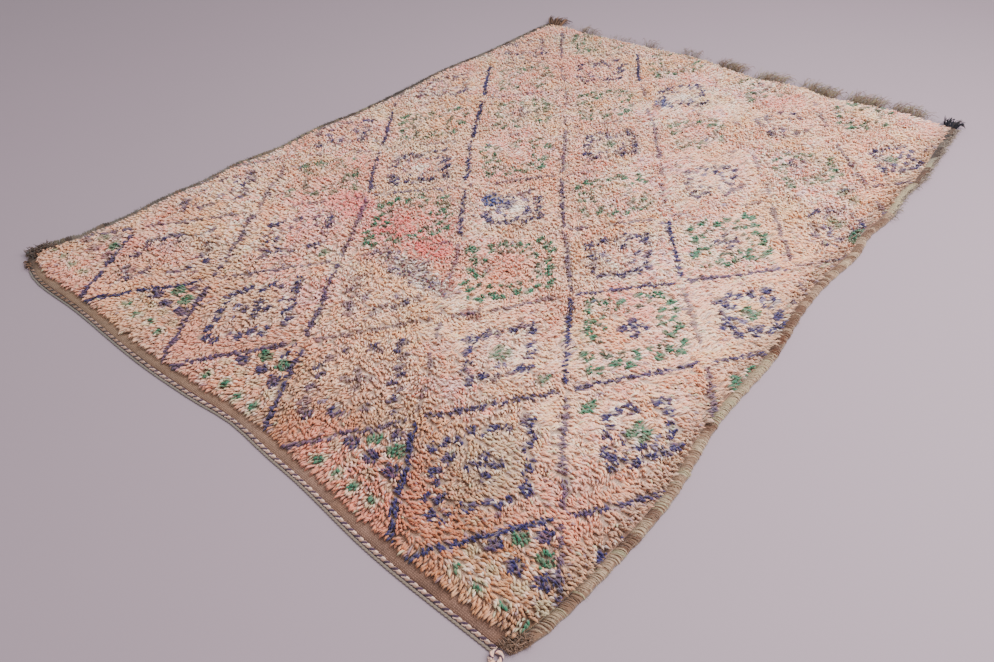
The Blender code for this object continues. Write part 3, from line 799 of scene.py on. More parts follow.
def ground_material():
    """Weft-faced wool cloth, woven tight, from uneven brown yarn.

    The crossing threads show as a fine grain. The real ones are 2 mm apart, and are drawn 4 to
    5 mm apart, which is the finest that shows from where the whole rug is seen.
    """
    material, tree, shader, place = new_material("weft_faced_wool_cloth")
    yarn = add_node(tree, "ShaderNodeAttribute", attribute_name="yarn").outputs["Color"]
    warps, wefts = (
        add_node(
            tree, "ShaderNodeTexWave",
            {"Vector": place, "Scale": wave_scale(pitch),
             "Distortion": 4.0, "Detail": 2.0, "Detail Scale": 3.0},
            bands_direction=direction,
        ).outputs["Fac"]
        for pitch, direction in ((WARP_PITCH, "X"), (WEFT_PITCH, "Y"))
    )
    ribs = add_node(tree, "ShaderNodeMath", {0: warps, 1: wefts}, operation="MULTIPLY").outputs["Value"]
    flecks = add_node(
        tree, "ShaderNodeTexNoise",
        {"Vector": place, "Scale": 1 / FLECK_SIZE, "Detail": 4.0, "Roughness": 0.7},
    ).outputs["Fac"]
    joined = add_node(tree, "ShaderNodeMath", {0: ribs, 1: flecks}, operation="ADD").outputs["Value"]
    light = add_node(
        tree, "ShaderNodeMapRange",
        {"Value": joined, "From Min": 0.35, "From Max": 1.35, "To Min": 0.66, "To Max": 1.36},
    ).outputs["Result"]
    tone = add_node(
        tree, "ShaderNodeVectorMath", {0: yarn, "Scale": light}, operation="SCALE"
    ).outputs["Vector"]
    bump = add_node(
        tree, "ShaderNodeBump", {"Height": joined, "Strength": 0.8, "Distance": 0.0007}
    ).outputs["Normal"]
    tree.links.new(tone, shader.inputs["Base Color"])
    tree.links.new(bump, shader.inputs["Normal"])
    shader.inputs["Roughness"].default_value = 0.93
    shader.inputs["Specular IOR Level"].default_value = 0.15
    shader.inputs["Sheen Weight"].default_value = 0.12
    return material


def floor_material(colour):
    """Trowelled and sealed screed: nearly even, smooth, with broad faint clouds of about 1 m."""
    material, tree, shader, place = new_material("sealed_screed_floor")
    clouds = add_node(
        tree, "ShaderNodeTexNoise", {"Vector": place, "Scale": 0.9, "Detail": 3.0}
    ).outputs["Fac"]
    dark = tuple(0.94 * c for c in colour)
    tone = add_node(
        tree, "ShaderNodeMix", {"Factor": clouds, 6: (*dark, 1.0), 7: (*colour, 1.0)}, data_type="RGBA"
    ).outputs[2]
    tree.links.new(tone, shader.inputs["Base Color"])
    shader.inputs["Roughness"].default_value = 0.62
    shader.inputs["Specular IOR Level"].default_value = 0.3
    return material


FORM_INPUTS = tuple(f"{part} {n}" for n in (1, 2, 3) for part in ("Middle", "End"))


def yarn_tree():
    """Geometry Nodes that set one of three bent yarn forms on each point.

    A point says how its yarn is turned, how large it is, which form it takes and its colour.
    """
    tree = bpy.data.node_groups.new("Yarn on points", "GeometryNodeTree")
    sockets = tree.interface
    sockets.new_socket("Points", in_out="INPUT", socket_type="NodeSocketGeometry")
    for name in ("Radius", "Root Share", "Belly", "Tip Share", "Crowding"):
        sockets.new_socket(name, in_out="INPUT", socket_type="NodeSocketFloat")
    for name in ("Sides", "Segments"):
        sockets.new_socket(name, in_out="INPUT", socket_type="NodeSocketInt")
    for name in FORM_INPUTS:
        sockets.new_socket(name, in_out="INPUT", socket_type="NodeSocketVector")
    sockets.new_socket("Material", in_out="INPUT", socket_type="NodeSocketMaterial")
    sockets.new_socket("Yarn", in_out="OUTPUT", socket_type="NodeSocketGeometry")
    given = add_node(tree, "NodeGroupInput").outputs

    profile = add_node(
        tree, "GeometryNodeCurvePrimitiveCircle", {"Resolution": given["Sides"], "Radius": 1.0}
    ).outputs["Curve"]
    count = add_node(
        tree, "ShaderNodeMath", {0: given["Segments"], 1: 1.0}, operation="ADD"
    ).outputs["Value"]
    along = add_node(tree, "GeometryNodeSplineParameter").outputs["Factor"]
    crowded = add_node(
        tree, "ShaderNodeMath", {0: along, 1: given["Crowding"]}, operation="POWER"
    ).outputs["Value"]
    swell = add_node(
        tree, "ShaderNodeMath", {0: along, 1: given["Belly"], 2: given["Root Share"]},
        operation="MULTIPLY_ADD",
    ).outputs["Value"]
    left = add_node(tree, "ShaderNodeMath", {0: 1.0, 1: along}, operation="SUBTRACT").outputs["Value"]
    body = add_node(tree, "ShaderNodeMath", {0: swell, 1: left}, operation="MULTIPLY").outputs["Value"]
    share = add_node(
        tree, "ShaderNodeMath", {0: along, 1: given["Tip Share"], 2: body}, operation="MULTIPLY_ADD"
    ).outputs["Value"]
    radius = add_node(
        tree, "ShaderNodeMath", {0: share, 1: given["Radius"]}, operation="MULTIPLY"
    ).outputs["Value"]
    forms = add_node(tree, "GeometryNodeJoinGeometry")
    for n in (3, 2, 1):
        curve = add_node(
            tree, "GeometryNodeCurveQuadraticBezier",
            {"Resolution": 12, "Start": (0, 0, 0),
             "Middle": given[f"Middle {n}"], "End": given[f"End {n}"]},
        ).outputs["Curve"]
        even = add_node(
            tree, "GeometryNodeResampleCurve", {"Curve": curve, "Count": count}
        ).outputs["Curve"]
        there = add_node(
            tree, "GeometryNodeSampleCurve", {"Curves": curve, "Factor": crowded}, mode="FACTOR"
        ).outputs["Position"]
        spaced = add_node(
            tree, "GeometryNodeSetPosition", {"Geometry": even, "Position": there}
        ).outputs["Geometry"]
        marked = add_node(
            tree, "GeometryNodeStoreNamedAttribute", {"Geometry": spaced, "Name": "rise", "Value": along},
            data_type="FLOAT", domain="POINT",
        ).outputs["Geometry"]
        tapered = add_node(
            tree, "GeometryNodeSetCurveRadius", {"Curve": marked, "Radius": radius}
        ).outputs["Curve"]
        tube = add_node(
            tree, "GeometryNodeCurveToMesh",
            {"Curve": tapered, "Profile Curve": profile, "Scale": radius, "Fill Caps": True},
        ).outputs["Mesh"]
        pointed = add_node(
            tree, "GeometryNodeMergeByDistance", {"Geometry": tube, "Distance": 0.00002}
        ).outputs["Geometry"]
        smooth = add_node(
            tree, "GeometryNodeSetShadeSmooth", {"Geometry": pointed, "Shade Smooth": True}
        ).outputs["Geometry"]
        form = add_node(tree, "GeometryNodeGeometryToInstance", {"Geometry": smooth}).outputs["Instances"]
        tree.links.new(form, forms.inputs["Geometry"])

    turn = add_node(
        tree, "GeometryNodeInputNamedAttribute", {"Name": "turn"}, data_type="FLOAT_VECTOR"
    ).outputs["Attribute"]
    rotation = add_node(tree, "FunctionNodeEulerToRotation", {"Euler": turn}).outputs["Rotation"]
    size = add_node(
        tree, "GeometryNodeInputNamedAttribute", {"Name": "size"}, data_type="FLOAT_VECTOR"
    ).outputs["Attribute"]
    pick = add_node(
        tree, "GeometryNodeInputNamedAttribute", {"Name": "form"}, data_type="INT"
    ).outputs["Attribute"]
    placed = add_node(
        tree, "GeometryNodeInstanceOnPoints",
        {"Points": given["Points"], "Instance": forms.outputs["Geometry"], "Pick Instance": True,
         "Instance Index": pick, "Rotation": rotation, "Scale": size},
    ).outputs["Instances"]
    real = add_node(tree, "GeometryNodeRealizeInstances", {"Geometry": placed}).outputs["Geometry"]
    dressed = add_node(
        tree, "GeometryNodeSetMaterial", {"Geometry": real, "Material": given["Material"]}
    ).outputs["Geometry"]
    add_node(tree, "NodeGroupOutput", {"Yarn": dressed})
    return tree


Yarns = namedtuple("Yarns", "places turns sizes forms colours")


def set_attribute(mesh, name, kind, values):
    """Adds an attribute with a value for each point."""
    key = {"FLOAT_COLOR": "color", "FLOAT_VECTOR": "vector"}.get(kind, "value")
    data = mesh.attributes.new(name, kind, "POINT").data
    data.foreach_set(key, np.ascontiguousarray(values).ravel())


def with_alpha(colours):
    return np.hstack([colours, np.ones((len(colours), 1))])


def show(name, mesh):
    """Adds the mesh to the scene, with what would reach under the floor set down on it."""
    points = np.empty(3 * len(mesh.vertices), dtype=np.float32)
    mesh.vertices.foreach_get("co", points)
    points[2::3] = np.maximum(points[2::3], 0)
    mesh.vertices.foreach_set("co", points)
    piece = bpy.data.objects.new(name, mesh)
    bpy.context.scene.collection.objects.link(piece)
    return piece


def grow(name, yarns, material, **inputs):
    """Sets yarn forms on points with the Geometry Nodes tree and keeps the plain mesh."""
    mesh = bpy.data.meshes.new(name + "_points")
    mesh.vertices.add(len(yarns.places))
    mesh.vertices.foreach_set("co", np.ascontiguousarray(yarns.places).ravel())
    set_attribute(mesh, "turn", "FLOAT_VECTOR", yarns.turns)
    set_attribute(mesh, "size", "FLOAT_VECTOR", yarns.sizes)
    set_attribute(mesh, "form", "INT", yarns.forms.astype(np.int32))
    set_attribute(mesh, "yarn", "FLOAT_COLOR", with_alpha(yarns.colours))
    carrier = show(name + "_points", mesh)
    tree = bpy.data.node_groups.get("Yarn on points") or yarn_tree()
    modifier = carrier.modifiers.new("Yarn", "NODES")
    modifier.node_group = tree
    identifiers = {
        item.name: item.identifier for item in tree.interface.items_tree if item.in_out == "INPUT"
    }
    for key, value in {**inputs, "Material": material}.items():
        modifier[identifiers[key]] = value
    depsgraph = bpy.context.evaluated_depsgraph_get()
    evaluated = carrier.evaluated_get(depsgraph)
    plain = bpy.data.meshes.new_from_object(evaluated, preserve_all_data_layers=True, depsgraph=depsgraph)
    carrier.modifiers.remove(modifier)
    bpy.data.objects.remove(carrier, do_unlink=True)
    plain.name = name
    plain.materials.clear()
    plain.materials.append(material)
    plain.polygons.foreach_set("material_index", np.zeros(len(plain.polygons), dtype=np.int32))
    for spent in ("turn", "size", "form"):
        if spent in plain.attributes:
            plain.attributes.remove(plain.attributes[spent])
    return show(name, plain)


def finish_piece(piece, slot, *nodes):
    """Fixes a piece to the body and hides the nodes that it replaces. The slot is not used."""
    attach(piece, BODY)
    if nodes:
        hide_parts(*nodes)


def mesh_from(name, points, faces, material):
    mesh = bpy.data.meshes.new(name)
    mesh.from_pydata([tuple(p) for p in points], [], faces)
    mesh.materials.append(material)
    mesh.polygons.foreach_set("use_smooth", [True] * len(mesh.polygons))
    mesh.update()
    return mesh


class RUG_OT_ground_cloth(bpy.types.Operator):
    """Weave the ground cloth, thin at its bare ends and thicker under the knots"""

    bl_idname = "rug.ground_cloth"
    bl_label = "Ground cloth"

    def execute(self, context):
        sizes = context.scene.rug_sizes
        columns = 66
        rows = 92
        a, b = np.meshgrid(np.linspace(0, 1, columns + 1), np.linspace(0, 1, rows + 1), indexing="ij")
        x, y = cloth_place(a.ravel(), b.ravel())
        from_near = y - edge_at("near", x)
        from_far = edge_at("far", x) - y
        ramp = 0.012
        under_pile = np.clip((from_near - sizes.bare_near) / ramp, 0, 1)
        under_pile = under_pile * np.clip((from_far - sizes.bare_far) / ramp, 0, 1)
        uneven = 0.0006 * (soft_noise(x, y, 0.03, 51) - 0.5)
        top = sizes.ground + (sizes.knot_base - sizes.ground) * under_pile + uneven
        count = len(x)
        points = np.vstack([np.stack([x, y, top], 1), np.stack([x, y, np.zeros(count)], 1)])
        place = np.arange(count).reshape(columns + 1, rows + 1)
        faces = []
        for i in range(columns):
            for j in range(rows):
                quad = (place[i, j], place[i + 1, j], place[i + 1, j + 1], place[i, j + 1])
                faces.append(tuple(int(k) for k in quad))
                faces.append(tuple(int(k) + count for k in reversed(quad)))
        rim = [*place[:, 0], *place[-1, 1:], *place[-2::-1, -1], *place[0, -2:0:-1]]
        for here, there in zip(rim, rim[1:] + rim[:1]):
            faces.append((int(here), int(here) + count, int(there) + count, int(there)))
        mesh = mesh_from("ground_cloth", points, faces, ground_material())
        colours = self.colours(x, y, from_near, under_pile)
        set_attribute(mesh, "yarn", "FLOAT_COLOR", with_alpha(colours))
        cloth = show("ground_cloth", mesh)
        finish_piece(cloth, "pile_wool", "rug_body")
        return {"FINISHED"}

    def colours(self, x, y, from_near, under_pile):
        """Brown bands above, painted shade on the top under the pile, and the knots' backs with the chart
        in them below.
        """
        chance = np.random.default_rng(61)
        band = np.repeat(colour_of("tan")[None], len(x), axis=0)
        band = paint(band, "mauve", np.clip(0.5 + x, 0, 1))
        speckled = np.clip(1 - np.abs(x - 0.68) / 0.16, 0, 1) * chance.random(len(x))
        band = paint(band, "umber", speckled * 0.7)
        band = band * (0.90 + 0.08 * np.clip(x / 0.3, -1, 1))[:, None]
        band = paint(band, "hazel", np.clip((x - 0.2) / 0.6, 0, 1) * 0.4)
        band = paint(band, "umber", np.clip((-0.79 - x) / 0.06, 0, 1) * 0.8)
        band = paint(band, "walnut", (soft_noise(x, y, 0.05, 63) > 0.60) * 0.35)
        to_side = np.minimum(x - edge_at("left", y), edge_at("right", y) - x)
        inside = np.clip((to_side - 0.006) / 0.03, 0, 1)
        # Under the pile the top is painted the grey brown of the shaded roots, and walnut towards the
        # near end: painted shade, so the gaps between the locks read as shadow.
        above = paint(band, "dust", under_pile * 0.85 * inside)
        above = paint(above, "walnut", np.clip(1.2 - from_near / 0.40, 0, 1) * 0.60 * under_pile)
        below = 0.8 * dyed_colours(x, y, 67) + 0.2 * band
        return varied(np.vstack([above, below]), chance, 0.06, 0.02)


def knot_grid(sizes):
    """Places of the knots, with the column of each."""
    width = edge_at("right", 0.0) - edge_at("left", 0.0)
    length = edge_at("far", 0.0) - edge_at("near", 0.0)
    columns = round(width / sizes.pitch_across)
    rows = round((length - sizes.bare_near - sizes.bare_far) / sizes.pitch_along)
    chance = np.random.default_rng(71)
    i, j = np.meshgrid(np.arange(columns), np.arange(rows), indexing="ij")
    i = i.ravel()
    j = j.ravel()
    a = 0.0030 + 0.9965 * (i + 0.5 + chance.uniform(-0.22, 0.22, len(i))) / columns
    b = (j + 0.5 + chance.uniform(-0.22, 0.22, len(j))) / rows
    b = b * (0.76 + 0.24 * b)
    x, y = cloth_place(a, b, near=sizes.bare_near, far=sizes.bare_far, side=0.003)
    return x, y, i * STRIPS // columns


def clump_pull(x, y, size, seed):
    """How far the middle of its clump is from each place, across and along, and its tone."""
    columns, rows = 211, 223
    table = np.random.default_rng(seed).uniform(0.25, 0.75, (3, columns, rows))
    bent_x = x + 0.8 * size * (soft_noise(x, y, 0.9 * size, seed + 1) - 0.5)
    bent_y = y + 0.8 * size * (soft_noise(x, y, 0.9 * size, seed + 2) - 0.5)
    i = np.floor(bent_x / size).astype(int)
    j = np.floor(bent_y / size).astype(int)
    middles = table[:, i % columns, j % rows]
    return (i + middles[0]) * size - bent_x, (j + middles[1]) * size - bent_y, middles[2]


# Which way the locks lean, in degrees from the rug's right: where it is trodden, and over its
# near end and its left side.
TRODDEN = -12
OVER_NEAR = -95
OVER_LEFT = -85


def lean_of_pile(x, y):
    """The way the pile has been trodden: its direction, and how flat it lies, about 0 to 1."""
    broad = soft_noise(x, y, 0.34, 81) - 0.5
    clumps = soft_noise(x, y, 0.055, 83) - 0.5
    to_left = np.clip(0.5 - x / 0.9, 0, 1)
    angle = np.radians(TRODDEN - 45 * to_left + 85 * broad + 60 * clumps)
    from_near = y - edge_at("near", x)
    droop = np.clip(1 - (from_near - 0.034) / 0.045, 0, 1)
    angle = angle * (1 - droop) + np.radians(OVER_NEAR) * droop
    from_left = x - edge_at("left", y)
    over_left = np.clip(1 - (from_left - 0.006) / 0.03, 0, 1)
    angle = angle * (1 - over_left) + np.radians(OVER_LEFT) * over_left
    flat = 0.30 + 0.75 * soft_noise(x, y, 0.075, 85)
    return angle, flat


CLUMP_SIZE = 0.018
KNOT_DEPTH = 0.0032


class RUG_OT_pile(bpy.types.Operator):
    """Knot the pile: two locks of yarn from every knot, dyed by the chart"""

    bl_idname = "rug.pile"
    bl_label = "Pile"

    def execute(self, context):
        sizes = context.scene.rug_sizes
        wool = yarn_material("felted_long_wool_pile")
        locks, strips = self.locks(sizes)
        for strip in range(STRIPS):
            chosen = strips == strip
            piece = grow(
                f"pile_strip_{strip + 1}", Yarns(*(values[chosen] for values in locks)), wool,
                Radius=sizes.lock_radius, Belly=3.1, Sides=3, Segments=2, Crowding=0.58,
                **{"Root Share": 0.85, "Tip Share": 0.0}, **lock_forms(sizes.lock_length),
            )
            lay_out_cells(piece.data, LOCK_POINTS)
            finish_piece(piece, "pile_wool")
        return {"FINISHED"}

    def locks(self, sizes):
        """Two yarn ends for each knot, side by side, each dyed as the chart has it at its tip."""
        chance = np.random.default_rng(97)
        knot_x, knot_y, strips = knot_grid(sizes)
        angle, flat = lean_of_pile(knot_x, knot_y)
        count = 2 * len(knot_x)
        side = np.tile([-0.25, 0.25], len(knot_x)) * sizes.pitch_across
        x = np.repeat(knot_x, 2) + side + chance.normal(0, 0.0007, count)
        y = np.repeat(knot_y, 2) + chance.normal(0, 0.0012, count)
        # Locks stand up beside the right side and hang over the near band. They are short where
        # they are felted and at the left side and the far end, and thicker near the near end.
        upright = np.clip(1.3 - (edge_at("right", y) - x) / 0.035, 0, 1)
        hanging = np.clip(1 - (y - edge_at("near", x) - sizes.bare_near) / 0.022, 0, 1)
        felted = np.clip(sum(blob(x, y, patch) for patch in MARKS if patch.dye == "faded"), 0, 1)
        length = 1 + chance.normal(0, 0.10, count) + 0.16 * (soft_noise(x, y, 0.03, 87) - 0.5)
        beside_left = np.clip(1.2 - (x - edge_at("left", y)) / 0.036, 0, 1)
        beside_far = np.clip(1.3 - (edge_at("far", x) - y - sizes.bare_far) / 0.030, 0, 1)
        shorter = (1 - 0.42 * beside_left) * (1 - 0.36 * beside_far)
        length = np.clip(length * (1 - 0.25 * felted) * shorter, 0.45, 1.35)
        near_part = np.clip(1.3 - (y - edge_at("near", x)) / 0.20, 0, 1)
        girth = np.clip(1 + 0.16 * near_part + chance.normal(0, 0.13, count), 0.65, 1.4)
        pull_x, pull_y, tone = clump_pull(x, y, CLUMP_SIZE, 93)
        pull = (0.36 - 0.26 * near_part) / sizes.lock_length
        bend = 0.56 + 0.40 * np.repeat(flat, 2) + chance.normal(0, 0.05, count) - 0.35 * upright
        inner = np.minimum(
            np.clip((y - edge_at("near", x) - sizes.bare_near) / 0.070, 0, 1),
            np.clip((edge_at("right", y) - x) / 0.030, 0, 1),
        )
        aim = np.repeat(angle, 2) + chance.normal(0, 0.16, count) + 2.0 * (tone - 0.5) * inner
        lean_x = bend * np.cos(aim) + pull * pull_x
        lean_y = bend * np.sin(aim) + pull * pull_y
        heading = np.arctan2(lean_y, lean_x)
        forms = np.digitize(np.hypot(lean_x, lean_y), (0.70, 0.87))
        tilt = chance.normal(0, 0.10, count) + 0.50 * hanging
        turns = np.stack([chance.normal(0, 0.10, count), tilt, heading], 1)
        reach = 0.72 * length * sizes.lock_length * np.array(LOCK_REACH)[forms]
        colours = dyed_colours(x + reach * np.cos(heading), y + reach * np.sin(heading), 91)
        shade = soft_noise(x, y, 0.016, 95)[:, None]
        colours = varied(colours * (0.94 + 0.20 * shade), chance, 0.07, 0.025)
        places = np.stack([x, y, np.full(count, sizes.knot_base - KNOT_DEPTH)], 1)
        sizes_of = np.stack([length, girth, length], 1)
        return Yarns(places, turns, sizes_of, forms, colours), np.repeat(strips, 2)


# A lock has two rings of three points and one at its tip.
LOCK_POINTS = 7
LOCK_LEANS = (43, 58, 70)
LOCK_REACH = tuple(math.sin(math.radians(degrees)) for degrees in LOCK_LEANS)


def lock_forms(reach):
    """Three bends of a lock, from nearly upright to well laid over, leaning towards +X."""
    inputs = {}
    for n, degrees in enumerate(LOCK_LEANS, start=1):
        lean = math.radians(degrees)
        # A lock leaves its knot a quarter as far from upright as its tip ends up.
        early = math.radians(0.25 * degrees)
        middle = 0.55 * reach
        inputs[f"Middle {n}"] = (middle * math.sin(early), 0.0, middle * math.cos(early))
        inputs[f"End {n}"] = (reach * math.sin(lean), 0.0, reach * math.cos(lean))
    return inputs


def lay_out_cells(mesh, lock_points):
    """Gives every lock its own cell in the UV map named OFBake.

    All locks have the same points and faces in the same order, so one lock's layout serves.
    """
    locks = len(mesh.vertices) // lock_points
    corners = len(mesh.loops) // locks
    vertex = np.empty(len(mesh.loops), dtype=np.int32)
    mesh.loops.foreach_get("vertex_index", vertex)
    faces = len(mesh.polygons) // locks
    starts = np.empty(len(mesh.polygons), dtype=np.int32)
    mesh.polygons.foreach_get("loop_start", starts)
    local = vertex.reshape(locks, corners) - lock_points * np.arange(locks)[:, None]
    if local.min() < 0 or local.max() >= lock_points:
        raise RuntimeError("the locks of a strip don't follow one another point by point")
    rise = np.empty(len(mesh.vertices), dtype=np.float32)
    mesh.attributes["rise"].data.foreach_get("value", rise)
    rise = rise.reshape(locks, lock_points)
    across = np.zeros((locks, corners))
    width = 1.0 / faces
    for face, first in enumerate(starts[:faces]):
        last = min(starts[face + 1] if face + 1 < len(starts) else len(vertex), corners)
        order = np.arange(last - first)
        turned = np.where(order < (last - first + 1) // 2, 0.1, 0.9)
        across[:, first:last] = (face + turned) * width
    up = np.take_along_axis(rise, local, axis=1)
    side = math.ceil(math.sqrt(locks))
    cell = np.arange(locks)
    u = (cell % side + 0.08 + 0.84 * across.T).T / side
    v = (cell // side + 0.08 + 0.84 * up.T).T / side
    layer = mesh.uv_layers.new(name="OFBake")
    layer.data.foreach_set("uv", np.stack([u, v], -1).astype(np.float32).ravel())


def wrap_colours(stretches, along, chance):
    """Binding colours along a side, by the stretches of the table, in small groups of turns."""
    limits = np.array([stretch.until for stretch in stretches])
    shifted = along + chance.normal(0, 0.006, len(along))
    which = np.clip(np.searchsorted(limits, shifted), 0, len(stretches) - 1)
    group = np.cumsum(chance.random(len(along)) < 0.16)
    colours = np.zeros((len(along), 3))
    for k, (stretch, turns) in enumerate(zip(which, group)):
        names = stretches[stretch].colours
        first = colour_of(names[turns * 7 % len(names)])
        second = colour_of(names[(turns * 5 + 1) % len(names)])
        colours[k] = 0.7 * first + 0.3 * second
    return varied(colours, chance, 0.06, 0.02)


class RUG_OT_selvedges(bpy.types.Operator):
    """Bind the two sides: turns of yarn over a core of warps, and the fuzz that they shed"""

    bl_idname = "rug.selvedges"
    bl_label = "Bound sides"

    def execute(self, context):
        wool = yarn_material("overcast_wool_binding")
        for binding in BINDINGS:
            self.bind(binding, context.scene.rug_sizes, wool)
        return {"FINISHED"}

    def bind(self, binding, sizes, wool):
        """Binds one side."""
        side, outward = binding.side, binding.outward
        facing = 0 if outward > 0 else math.pi
        node = f"selvedge_{side}"
        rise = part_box(node)[1].z - 0.0008 - sizes.wrap_radius
        chance = np.random.default_rng(111 + outward)
        ends = EDGES[side][0][[0, -1]]
        count = int((ends[1] - ends[0]) / sizes.wrap_pitch)
        y = np.linspace(ends[0] + 0.003, ends[1] - 0.003, count) + chance.normal(0, 0.0006, count)
        width = self.width_of(node, binding, y)
        lumps = soft_noise(y, 0 * y, 0.018, 121) - 0.5
        bulk = (0.20 + 0.80 * np.clip(2 - (y - ends[0]) / 0.25, 0, 1)) * binding.swell
        swollen = bulk * np.clip(soft_noise(y, 0 * y, 0.045, 123) * 2.2 - 0.4, 0, 1)
        high = 1 + 0.22 * lumps + chance.normal(0, 0.03, count) + 0.75 * swollen + binding.lift
        girth = 1 + chance.normal(0, 0.16, count) + 0.5 * swollen
        size = np.stack([width / WRAP_SPAN * (1 + 0.06 * lumps + 0.25 * swollen), girth, high], 1)
        turn = np.zeros((count, 3))
        turn[:, 0] = chance.normal(0, 0.05, count)
        turn[:, 2] = facing + outward * 0.22 + chance.normal(0, 0.10, count)
        colours = wrap_colours(binding.stretches, y - NEAR_LINE_Y, chance) * binding.light
        places = np.stack([edge_at(side, y) + outward * 0.0003, y, np.full(count, 0.0016)], 1)
        forms = chance.integers(0, 3, count)
        span = WRAP_SPAN - sizes.wrap_radius
        piece = grow(
            node + "_binding", Yarns(places, turn, size, forms, colours), wool,
            Radius=sizes.wrap_radius, Belly=0.0, Sides=4, Segments=5, Crowding=1.0,
            **{"Root Share": 1.0, "Tip Share": 0.8,
               "Middle 1": (0.70 * span, 0.0000, 1.80 * rise), "End 1": (span, 0.0, 0.0002),
               "Middle 2": (0.80 * span, 0.0014, 1.95 * rise), "End 2": (1.02 * span, 0.0, 0.0),
               "Middle 3": (0.62 * span, -0.0014, 1.88 * rise), "End 3": (0.94 * span, 0.0, 0.0004)},
        )
        core = self.core(node, binding, y, width, rise * np.mean(high))
        fuzz = self.fuzz(node, binding, y, width, colours, wool, chance)
        join_meshes(piece, core, fuzz)
        finish_piece(piece, binding.slot, node)

    def width_of(self, node, binding, y):
        """Width of the solid's roll at each place, from the cloth's edge."""
        points = np.array([vertex.co[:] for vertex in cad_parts[node].data.vertices])
        low = points[points[:, 2] < 0.006]
        rows = np.round(low[:, 1], 4)
        places = np.unique(rows)
        outer = np.array([(binding.outward * low[rows == place][:, 0]).max() for place in places])
        return np.interp(y, places, outer) - binding.outward * edge_at(binding.side, y) - 0.0008

    def core(self, node, binding, y, width, rise):
        """The bundle of warps under the turns of yarn."""
        steps = np.linspace(y[0], y[-1], 200)
        wide = np.interp(steps, y, width)
        profile = ((0.0, 0.0), (0.03, 0.40), (0.30, 0.86), (0.62, 0.96), (0.86, 0.62), (0.94, 0.0))
        points = []
        for k, place in enumerate(steps):
            for out, up in profile:
                x = edge_at(binding.side, place) + binding.outward * (0.0004 + out * wide[k])
                points.append((x, place, 0.0002 + up * rise))
        return tube_mesh(node + "_core", points, len(profile), colour_of("walnut"))

    def fuzz(self, node, binding, y, width, colours, wool, chance):
        """Short loose ends that stand off the outer side of the roll and soften its outline.

        Some of them are felted together at the near end, and the right side has longer ones
        along its far part.
        """
        outward = binding.outward
        facing = 0 if outward > 0 else math.pi
        picked = chance.integers(0, len(y), FUZZ_ENDS)
        out = chance.uniform(0.30, 1.0, len(picked))
        z = 0.0100 * np.sqrt(1 - np.clip(out - 0.30, 0, 1) ** 1.2)
        along = y[picked]
        grown = chance.uniform(0.5, 1.0, len(picked))
        colour = 0.6 * colours[picked] + 0.4 * colour_of(binding.fuzz)
        felt = np.arange(FELTED_ENDS)
        along[felt] = y[0] + chance.uniform(-0.002, binding.felt_run, len(felt))
        out[felt] = chance.uniform(binding.felt_from, binding.felt_to, len(felt))
        z[felt] = chance.uniform(0.004, 0.014, len(felt))
        grown[felt] = chance.uniform(1.2, 2.4, len(felt)) * binding.felt_share
        colour[felt] = colour_of(binding.felt) * chance.uniform(0.5, 1.5, (len(felt), 1))
        if outward > 0:
            loose = FELTED_ENDS + np.arange(LOOSE_ENDS)
            along[loose] = y[-1] - (y[-1] - y[0]) * 0.30 * chance.random(len(loose)) ** 1.3
            grown[loose] = chance.uniform(1.1, 2.2, len(loose))
            out[loose] = chance.uniform(0.6, 1.1, len(loose))
            shade = 0.5 * colour_of("ash") + 0.5 * colour_of("walnut")
            colour[loose] = shade * chance.uniform(0.7, 1.3, (len(loose), 1))
        x = edge_at(binding.side, along) + outward * out * np.interp(along, y, width)
        turn = np.zeros((len(picked), 3))
        turn[:, 1] = chance.uniform(-0.2, 0.5, len(picked))
        turn[:, 2] = facing + chance.normal(0, 0.7, len(picked))
        turn[felt, 2] = chance.uniform(0, 2 * math.pi, len(felt))
        size = np.ones((len(picked), 3)) * grown[:, None]
        forms = chance.integers(0, 3, len(picked))
        yarns = Yarns(np.stack([x, along, z], 1), turn, size, forms, np.clip(colour, 0, 0.9))
        tips = grow(
            node + "_fuzz", yarns, wool, Radius=0.0008, Belly=1.5, Sides=3, Segments=2, Crowding=0.8,
            **{"Root Share": 1.0, "Tip Share": 0.0}, **lock_forms(FUZZ_LENGTH),
        )
        mesh = tips.data
        bpy.data.objects.remove(tips)
        return mesh


WRAP_SPAN = 0.024
FUZZ_LENGTH = 0.0095
FUZZ_ENDS = 1300
FELTED_ENDS = 300
LOOSE_ENDS = 260


def tube_mesh(name, points, sides, colours):
    """A closed tube through rings of points, of one colour or of one for each ring."""
    rings = len(points) // sides
    faces = [tuple(range(sides)), tuple(range(len(points) - 1, len(points) - 1 - sides, -1))]
    for ring in range(rings - 1):
        for k in range(sides):
            n = (k + 1) % sides
            here = ring * sides
            faces.append((here + k, here + sides + k, here + sides + n, here + n))
    mesh = bpy.data.meshes.new(name)
    mesh.from_pydata(points, [], faces)
    mesh.polygons.foreach_set("use_smooth", [True] * len(mesh.polygons))
    face_out(mesh)
    colours = np.repeat(np.broadcast_to(colours, (rings, 3)), sides, axis=0)
    set_attribute(mesh, "yarn", "FLOAT_COLOR", with_alpha(colours))
    # A closed strand has no root, so all of it takes the painted root light of the upper part of a
    # loose one.
    set_attribute(mesh, "rise", "FLOAT", np.full(len(points), 0.6))
    return mesh


def face_out(mesh):
    """Turns a closed mesh's faces outwards."""
    work = bmesh.new()
    work.from_mesh(mesh)
    bmesh.ops.recalc_face_normals(work, faces=work.faces)
    work.to_mesh(mesh)
    work.free()


def join_meshes(piece, *meshes):
    """Joins further meshes with the same attributes into a piece."""
    extras = []
    for mesh in meshes:
        if not mesh.materials:
            mesh.materials.append(piece.data.materials[0])
        extras.append(show(mesh.name, mesh))
    chosen = [piece, *extras]
    with bpy.context.temp_override(
        active_object=piece, selected_editable_objects=chosen, selected_objects=chosen
    ):
        bpy.ops.object.join()


